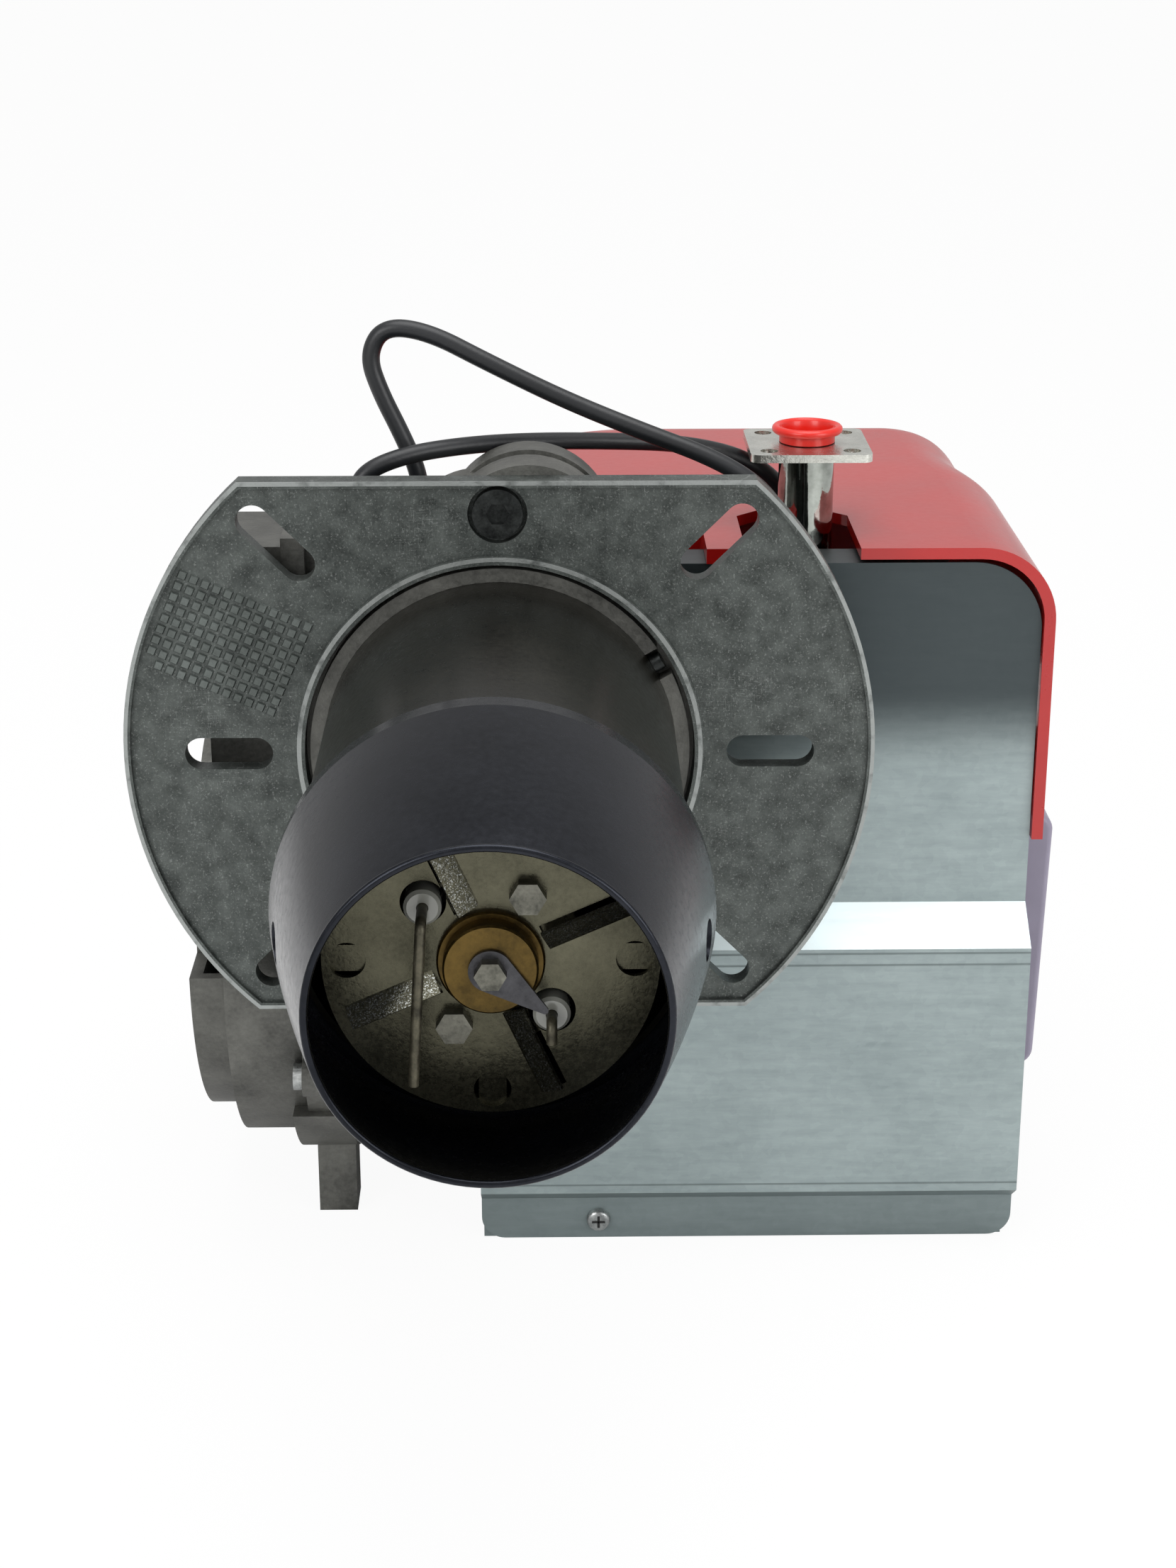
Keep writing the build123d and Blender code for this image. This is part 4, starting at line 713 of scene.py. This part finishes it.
def pillow_blocks(name: str, centres: np.ndarray, across: np.ndarray, along: np.ndarray,
                  out: np.ndarray, half: float, height: float) -> bpy.types.Object:
    """Make many small raised pads in one mesh, each with sloping sides.

    Each pad's base corners are its centre plus or minus half of the two directions; its top corners are
    the same at a share of the size, raised by the height.

    Args:
        name: The piece's name.
        centres: Array of shape (count, 3).
        across: Unit direction of one side.
        along: Unit direction of the other side.
        out: Unit direction the pads stand up in.
        half: Half of a pad's side.
        height: How far a pad stands up.

    Returns:
        The pads.
    """
    signs = np.array([(-1, -1), (1, -1), (1, 1), (-1, 1)], dtype=float)
    flat = signs[:, :1] * across + signs[:, 1:] * along
    corners = np.concatenate([flat * half, flat * half * PAD_TOP + out * height])
    points = (centres[:, None, :] + corners[None]).reshape(-1, 3)
    faces = np.array([(3, 2, 1, 0), (4, 5, 6, 7), (0, 1, 5, 4), (1, 2, 6, 5), (2, 3, 7, 6), (3, 0, 4, 7)])
    quads = (faces[None] + 8 * np.arange(len(centres))[:, None, None]).reshape(-1, 4)
    return placed_mesh(name, points, quads, None)


# ---------------------------------------------------------------- leads
@dataclass
class Lead:
    """A loose lead between two glands."""

    name: str
    route: list[Point]
    diameter: float = 5.4 * MM

    def build(self, shop: Workshop) -> bpy.types.Object:
        """Lay the lead along its route, as a smooth spline with the route's points as control points.

        Args:
            shop: Gives the finish.

        Returns:
            The lead.
        """
        data = bpy.data.curves.new(self.name + "_sheath", "CURVE")
        data.dimensions = "3D"
        data.bevel_depth = 1.0    # a point's radius sets the thickness, so that the box is right too
        data.bevel_resolution = 6
        data.use_fill_caps = True
        data.resolution_u = 12
        spline = data.splines.new("NURBS")
        spline.points.add(len(self.route) - 1)
        for point, place in zip(spline.points, self.route):
            point.co = (*(v * MM for v in place), 1.0)
            point.radius = self.diameter / 2
        spline.order_u = 3
        spline.use_endpoint_u = True
        piece = bpy.data.objects.new(self.name + "_sheath", data)
        bpy.context.scene.collection.objects.link(piece)
        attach(piece, "burner")
        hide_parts(self.name)
        shop.dress(piece, Finish.LEAD)
        LOG.info("laid %s", self.name)
        return piece


@dataclass
class Leads:
    """The two leads behind and above the flange."""

    switch_route: list[Point] = field(default_factory=lambda: [
        (93, 86.5, 36.2), (93, 86.5, 52), (90.5, 85, 62), (78, 81, 72), (58, 72.5, 78.5), (33, 63, 81.5),
        (8, 50, 84.5), (-12, 37, 86), (-28, 29.5, 85), (-39.5, 26.5, 81), (-43, 26, 75), (-43, 26, 67)])
    loop_route: list[Point] = field(default_factory=lambda: [
        (-24, 42, 67), (-24, 42, 75), (-29.5, 43.5, 88), (-36, 45, 101), (-39.5, 45.5, 112), (-34.5, 45, 121),
        (-21, 44, 119.5), (-3, 41.5, 110.5), (20, 39.5, 99.5), (44, 36, 90.3), (65, 33, 83), (80, 31.5, 74),
        (88, 31, 61), (88, 31, 47)])
    switch_length: float = 0.1885
    loop_length: float = 0.2108

    def build(self, shop: Workshop) -> None:
        """Lay both leads.

        Args:
            shop: Gives the finish.
        """
        for name, route, length in (("switch_lead", self.switch_route, self.switch_length),
                                    ("loop_lead", self.loop_route, self.loop_length)):
            piece = Lead(name, route).build(shop)


# ---------------------------------------------------------------- sub-assemblies
@dataclass
class FlangeGroup:
    """Mounting flange with its moulded date grid and screw."""

    grid_centre: Point = (-80.6 * MM, 1.5 * MM, 34.6 * MM)
    grid_turn: float = -24.0
    grid_pitch: float = 3.6 * MM
    grid_rows: int = 9
    grid_columns: int = 12
    pad_half: float = 1.38 * MM
    pad_height: float = 0.7 * MM
    grid_inner: float = 64 * MM
    grid_outer: float = 108.5 * MM

    def date_grid(self, shop: Workshop) -> None:
        """Raise the grid of plain squares beside the bore, on a turned lattice of rows and columns.

        Args:
            shop: Gives the finish.
        """
        across_steps = (np.arange(self.grid_columns) - (self.grid_columns - 1) / 2) * self.grid_pitch
        down_steps = (np.arange(self.grid_rows) - (self.grid_rows - 1) / 2) * self.grid_pitch
        turn = math.radians(self.grid_turn)
        across = np.array([math.cos(turn), 0.0, math.sin(turn)])
        along = np.array([-math.sin(turn), 0.0, math.cos(turn)])
        a, d = np.meshgrid(across_steps, down_steps, indexing="ij")
        centres = np.array(self.grid_centre) + a.reshape(-1, 1) * across + d.reshape(-1, 1) * along
        far = np.hypot(centres[:, 0], centres[:, 2])
        on_face = (far > self.grid_inner) & (far < self.grid_outer)
        pads = pillow_blocks("flange_date_grid", centres[on_face], across, along,
                             np.array([0.0, -1.0, 0.0]), self.pad_half, self.pad_height)
        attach(pads, "burner")
        # The pads take the lighter, painted-light finish.
        shop.dress(pads, Finish.LIT_GRID)

    def build(self, shop: Workshop) -> None:
        """Dress the flange and make its grid.

        Args:
            shop: Gives the finishes.
        """
        shop.dress_nodes(Finish.FLANGE, "mounting_flange")
        shop.dress_nodes(Finish.BLACK_STEEL, "flange_screw", "tube_screw")
        self.date_grid(shop)


@dataclass
class HeadGroup:
    """Blast tube, flame cone and what they hold."""

    tip_radius: float = 43.5 * MM
    tip_y: float = -188.0 * MM
    tip_bead: float = 1.0 * MM
    collar_step: float = 1.65 * MM
    collar_length: float = 1.8 * MM
    cap_length: float = 6.6 * MM
    bolt_hole: float = 2.05 * MM
    socket: float = 10.05 * MM
    cap_chamfer: float = 0.5 * MM

    def rolled_tip(self, shop: Workshop) -> None:
        """Roll the cone's front edge over into a bead.

        Args:
            shop: Gives the finish.
        """
        bead = ring_about_y("cone_rolled_edge", (0, self.tip_y, 0), self.tip_radius, self.tip_bead)
        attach(bead, "burner")
        shop.dress(bead, Finish.CONE)

    def nozzle(self, shop: Workshop) -> None:
        """Turn the brass nozzle: a chamfered cap with a plain face, a collar and a long socket.

        Args:
            shop: Gives the finish.
        """
        low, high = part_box("gas_nozzle")
        front, back, collar = low[1], high[1], high[0]
        cap, chamfer = collar - self.collar_step, self.cap_chamfer
        seat = front + self.cap_length
        piece = turned("nozzle_turned", (0, 0, 0), Axis.Y, [
            (self.bolt_hole, front), (cap - chamfer, front), (cap, front + chamfer),
            (cap, seat - self.collar_length), (collar - chamfer, seat - self.collar_length),
            (collar, seat - self.collar_length + chamfer), (collar, seat), (cap, seat), (cap, back),
            (self.socket, back), (self.socket, seat), (self.bolt_hole, seat)])
        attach(piece, "burner")
        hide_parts("gas_nozzle")
        shop.dress(piece, Finish.BRASS)

    def build(self, shop: Workshop) -> None:
        """Dress the head, turn its nozzle and roll the cone's edge.

        Args:
            shop: Gives the finishes.
        """
        shop.dress_nodes(Finish.TUBE, "blast_tube")
        shop.dress_nodes(Finish.CONE, "flame_cone")
        shop.dress_nodes(Finish.DISC, "diffuser_disc", "head_spider")
        shop.dress_nodes(Finish.SPARK, "spark_plate")
        shop.dress_nodes(Finish.HEAD_BOLT, "disc_bolts", "nozzle_bolt")
        shop.dress_nodes(Finish.CERAMIC, "ionisation_insulator", "ignition_insulator")
        shop.dress_nodes(Finish.HOT_WIRE, "ionisation_rod", "ignition_rod", "gas_lance")
        shop.dress_nodes(Finish.CASTING, "electrode_clamp")
        self.nozzle(shop)
        self.rolled_tip(shop)


@dataclass
class GasLine:
    """Gas pipe, its square flange and the plug in it."""

    pipe_at: tuple[float, float] = (97 * MM, 72 * MM)
    spigot: float = 7.1 * MM
    spigot_length: float = 14.0 * MM
    neck: float = 8.8 * MM
    neck_height: float = 2.6 * MM
    lip: float = 11.2 * MM
    lip_height: float = 2.7 * MM
    cup: float = 8.0 * MM
    wall: float = 1.6 * MM
    foot_in: float = 0.6 * MM
    foot_up: float = 1.5 * MM
    rim_out: float = 0.4 * MM
    rim_down: float = 0.3 * MM
    cup_down: float = 0.9 * MM
    pin: float = 0.05 * MM
    lip_turn: tuple[float, ...] = (-60, -30, 0, 30, 60, 90, 120, 150)

    def plug(self, shop: Workshop) -> None:
        """Turn the plug: a hollow spigot under a short neck and a cup with a rounded lip.

        Args:
            shop: Gives the finish.
        """
        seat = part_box("transport_plug")[0][2] + self.spigot_length
        under, top = seat + self.neck_height, seat + self.neck_height + self.lip_height
        half = self.lip_height / 2
        edge = [(self.lip - half + half * math.cos(a), under + half + half * math.sin(a))
                for a in np.radians(self.lip_turn)]
        foot, inner = seat - self.spigot_length, self.spigot - self.wall
        piece = turned("plug_moulded", (*self.pipe_at, 0), Axis.Z, [
            (self.pin, foot), (self.spigot - self.foot_in, foot), (self.spigot, foot + self.foot_up),
            (self.spigot, seat), (self.neck, seat), (self.neck, under), *edge,
            (self.cup + self.rim_out, top - self.rim_down), (self.cup, top - self.cup_down),
            (self.cup, seat + self.wall), (inner, seat + self.wall), (inner, foot + self.wall),
            (self.pin, foot + self.wall)])
        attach(piece, "transport_plug")
        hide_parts("transport_plug")
        shop.dress(piece, Finish.PLUG)

    def build(self, shop: Workshop) -> None:
        """Dress the gas line.

        Args:
            shop: Gives the finishes.
        """
        shop.dress_nodes(Finish.CHROME, "gas_pipe")
        shop.dress_nodes(Finish.PLATED, "gas_flange")
        shop.dress_nodes(Finish.CASTING, "gas_manifold")
        shop.dress_nodes(Finish.ZINC, "manifold_screws")
        self.plug(shop)


@dataclass
class Body:
    """Casings, fan, motor, sheet metal and electrical parts."""

    screw_centre: Point = (30.6 * MM, 35.55 * MM, -180.0 * MM)
    cross_half: float = 2.2 * MM
    cross_width: float = 0.42 * MM
    cross_height: float = 0.08 * MM

    def screw_cross(self, shop: Workshop) -> None:
        """Paint shade into the panel screw's cross recess with two crossed near-black bars.

        Args:
            shop: Gives the finish.
        """
        narrow = self.cross_width / self.cross_half
        for name, across, along in (("wide", 1.0, narrow), ("tall", narrow, 1.0)):
            bar = pillow_blocks("screw_recess_" + name, np.array([self.screw_centre]),
                                np.array([across, 0, 0]), np.array([0, 0, along]),
                                np.array([0.0, -1.0, 0.0]), self.cross_half, self.cross_height)
            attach(bar, "burner")
            shop.dress(bar, Finish.RECESS_SHADE)

    def build(self, shop: Workshop) -> None:
        """Dress everything behind the flange.

        Args:
            shop: Gives the finishes.
        """
        shop.dress_nodes(Finish.CASTING, "fan_casing_right", "fan_casing_left")
        shop.dress_nodes(Finish.ZINC, "casing_screws", "shutter_pivot", "motor_shaft", "panel_screw",
                         "cover_screw")
        shop.dress_nodes(Finish.SHEET, "front_panel", "base_plate", "control_bracket", "switch_bracket",
                         "gland_bracket", "intake_plate", "air_shutter", "fan_wheel")
        shop.dress_nodes(Finish.MOTOR, "motor_body", "motor_end_cap")
        shop.dress_nodes(Finish.ENAMEL, "cover")
        shop.dress_nodes(Finish.LILAC, "control_box")
        shop.dress_nodes(Finish.BUTTON, "reset_button")
        shop.dress_nodes(Finish.BLACK, "control_box_base", "mains_socket", "ignition_transformer",
                         "capacitor", "air_pressure_switch", "switch_gland", "casing_glands", "panel_gland")
        self.screw_cross(shop)


# ---------------------------------------------------------------- studio
@dataclass(frozen=True)
class Lamp:
    """A square soft light: where it hangs, the point it shines at, its side and its power in watts."""

    name: str
    place: Point
    aim: Point
    side: float
    power: float

    def hang(self) -> None:
        """Hang the lamp and turn it to its aim."""
        data = bpy.data.lights.new(self.name, "AREA")
        data.size = self.side
        data.energy = self.power
        lamp = bpy.data.objects.new(self.name, data)
        lamp.location = self.place
        direction = np.array(self.aim) - np.array(self.place)
        level = math.hypot(direction[0], direction[1])
        lamp.rotation_euler = (math.atan2(level, -direction[2]), 0, math.atan2(-direction[0], direction[1]))
        bpy.context.scene.collection.objects.link(lamp)


@dataclass
class Studio:
    """Camera, pale floor and soft lights."""

    camera_place: Point = (0.01434, -0.76035, 0.26818)
    camera_pitch: float = 20.08
    camera_yaw: float = 0.914
    lens: float = 61.44
    sensor: float = 36.0
    floor_z: float = -0.1874
    floor_reach: float = 40
    floor_glow: float = 0.94
    floor_grey: Colour = (0.9, 0.9, 0.9)
    sky_light: float = 0.62
    white: Colour = (1.0, 1.0, 1.0)
    lamps: tuple[Lamp, ...] = (
        Lamp("top_soft", (0.1, -0.1, 1.3), (0.05, 0.05, 0), 1.1, 13),
        Lamp("front_left", (-0.9, -1.1, 0.7), (0, 0, -0.05), 0.8, 9),
        Lamp("front_right", (1.0, -0.9, 0.4), (0.05, 0, -0.05), 0.7, 6))

    def camera(self) -> None:
        """Set the camera."""
        data = bpy.data.cameras.new("studio_camera")
        data.lens = self.lens
        data.sensor_width = self.sensor
        camera = bpy.data.objects.new("studio_camera", data)
        camera.location = self.camera_place
        camera.rotation_euler = (math.radians(90 - self.camera_pitch), 0, math.radians(-self.camera_yaw))
        bpy.context.scene.collection.objects.link(camera)
        bpy.context.scene.camera = camera

    def floor(self) -> None:
        """Lay the floor: a pale plane, nearly white to the camera, that keeps the burner's shadow."""
        side = np.linspace(-self.floor_reach, self.floor_reach, 3)
        u, v = np.meshgrid(side, side, indexing="ij")
        points = np.stack([u, v, np.full_like(u, self.floor_z)], -1)
        piece = lattice_mesh("studio_floor", points, False, False)
        graph = Graph(bpy.data.materials.new("floor_white"))
        seen = graph.out(graph.node("ShaderNodeLightPath"), "Is Camera Ray")
        diffuse = graph.node("ShaderNodeBsdfDiffuse", None, {"Color": self.floor_grey})
        glow = graph.node("ShaderNodeEmission", None, {"Color": self.white, "Strength": 1.0})
        both = graph.node("ShaderNodeMixShader", None, {
            0: seen * self.floor_glow, 1: graph.out(diffuse), 2: graph.out(glow)})
        graph.node("ShaderNodeOutputMaterial", None, {0: graph.out(both)})
        piece.data.materials.append(graph.owner)

    def sky(self) -> None:
        """Surround everything with soft light that is pure white to the camera and through clear pieces.

        Reflections see the soft light itself, because Is Glossy Ray isn't among the rays that see white.
        """
        world = bpy.data.worlds.new("studio_sky")
        bpy.context.scene.world = world
        graph = Graph(world)
        path = graph.node("ShaderNodeLightPath")
        white_ray = graph.out(path, "Is Camera Ray").larger(graph.out(path, "Is Transmission Ray"))
        strength = graph.node("ShaderNodeMapRange", None, {
            "Value": white_ray, "To Min": self.sky_light, "To Max": 1.0})
        background = graph.node("ShaderNodeBackground", None, {
            "Color": self.white, "Strength": graph.out(strength)})
        graph.node("ShaderNodeOutputWorld", None, {0: graph.out(background)})

    def build(self) -> None:
        """Set up the studio."""
        self.camera()
        self.floor()
        self.sky()
        for lamp in self.lamps:
            lamp.hang()
        bpy.context.scene.view_settings.view_transform = "Standard"


def main() -> None:
    """Build the studio, the leads and each sub-assembly in order."""
    logging.basicConfig(level=logging.INFO, format="%(name)s: %(message)s")
    shop = Workshop()
    Studio().build()
    Leads().build(shop)
    for group in (FlangeGroup(), HeadGroup(), GasLine(), Body()):
        group.build(shop)
        LOG.info("built %s", type(group).__name__)
    bpy.context.view_layer.update()


if __name__ == "__main__":
    main()
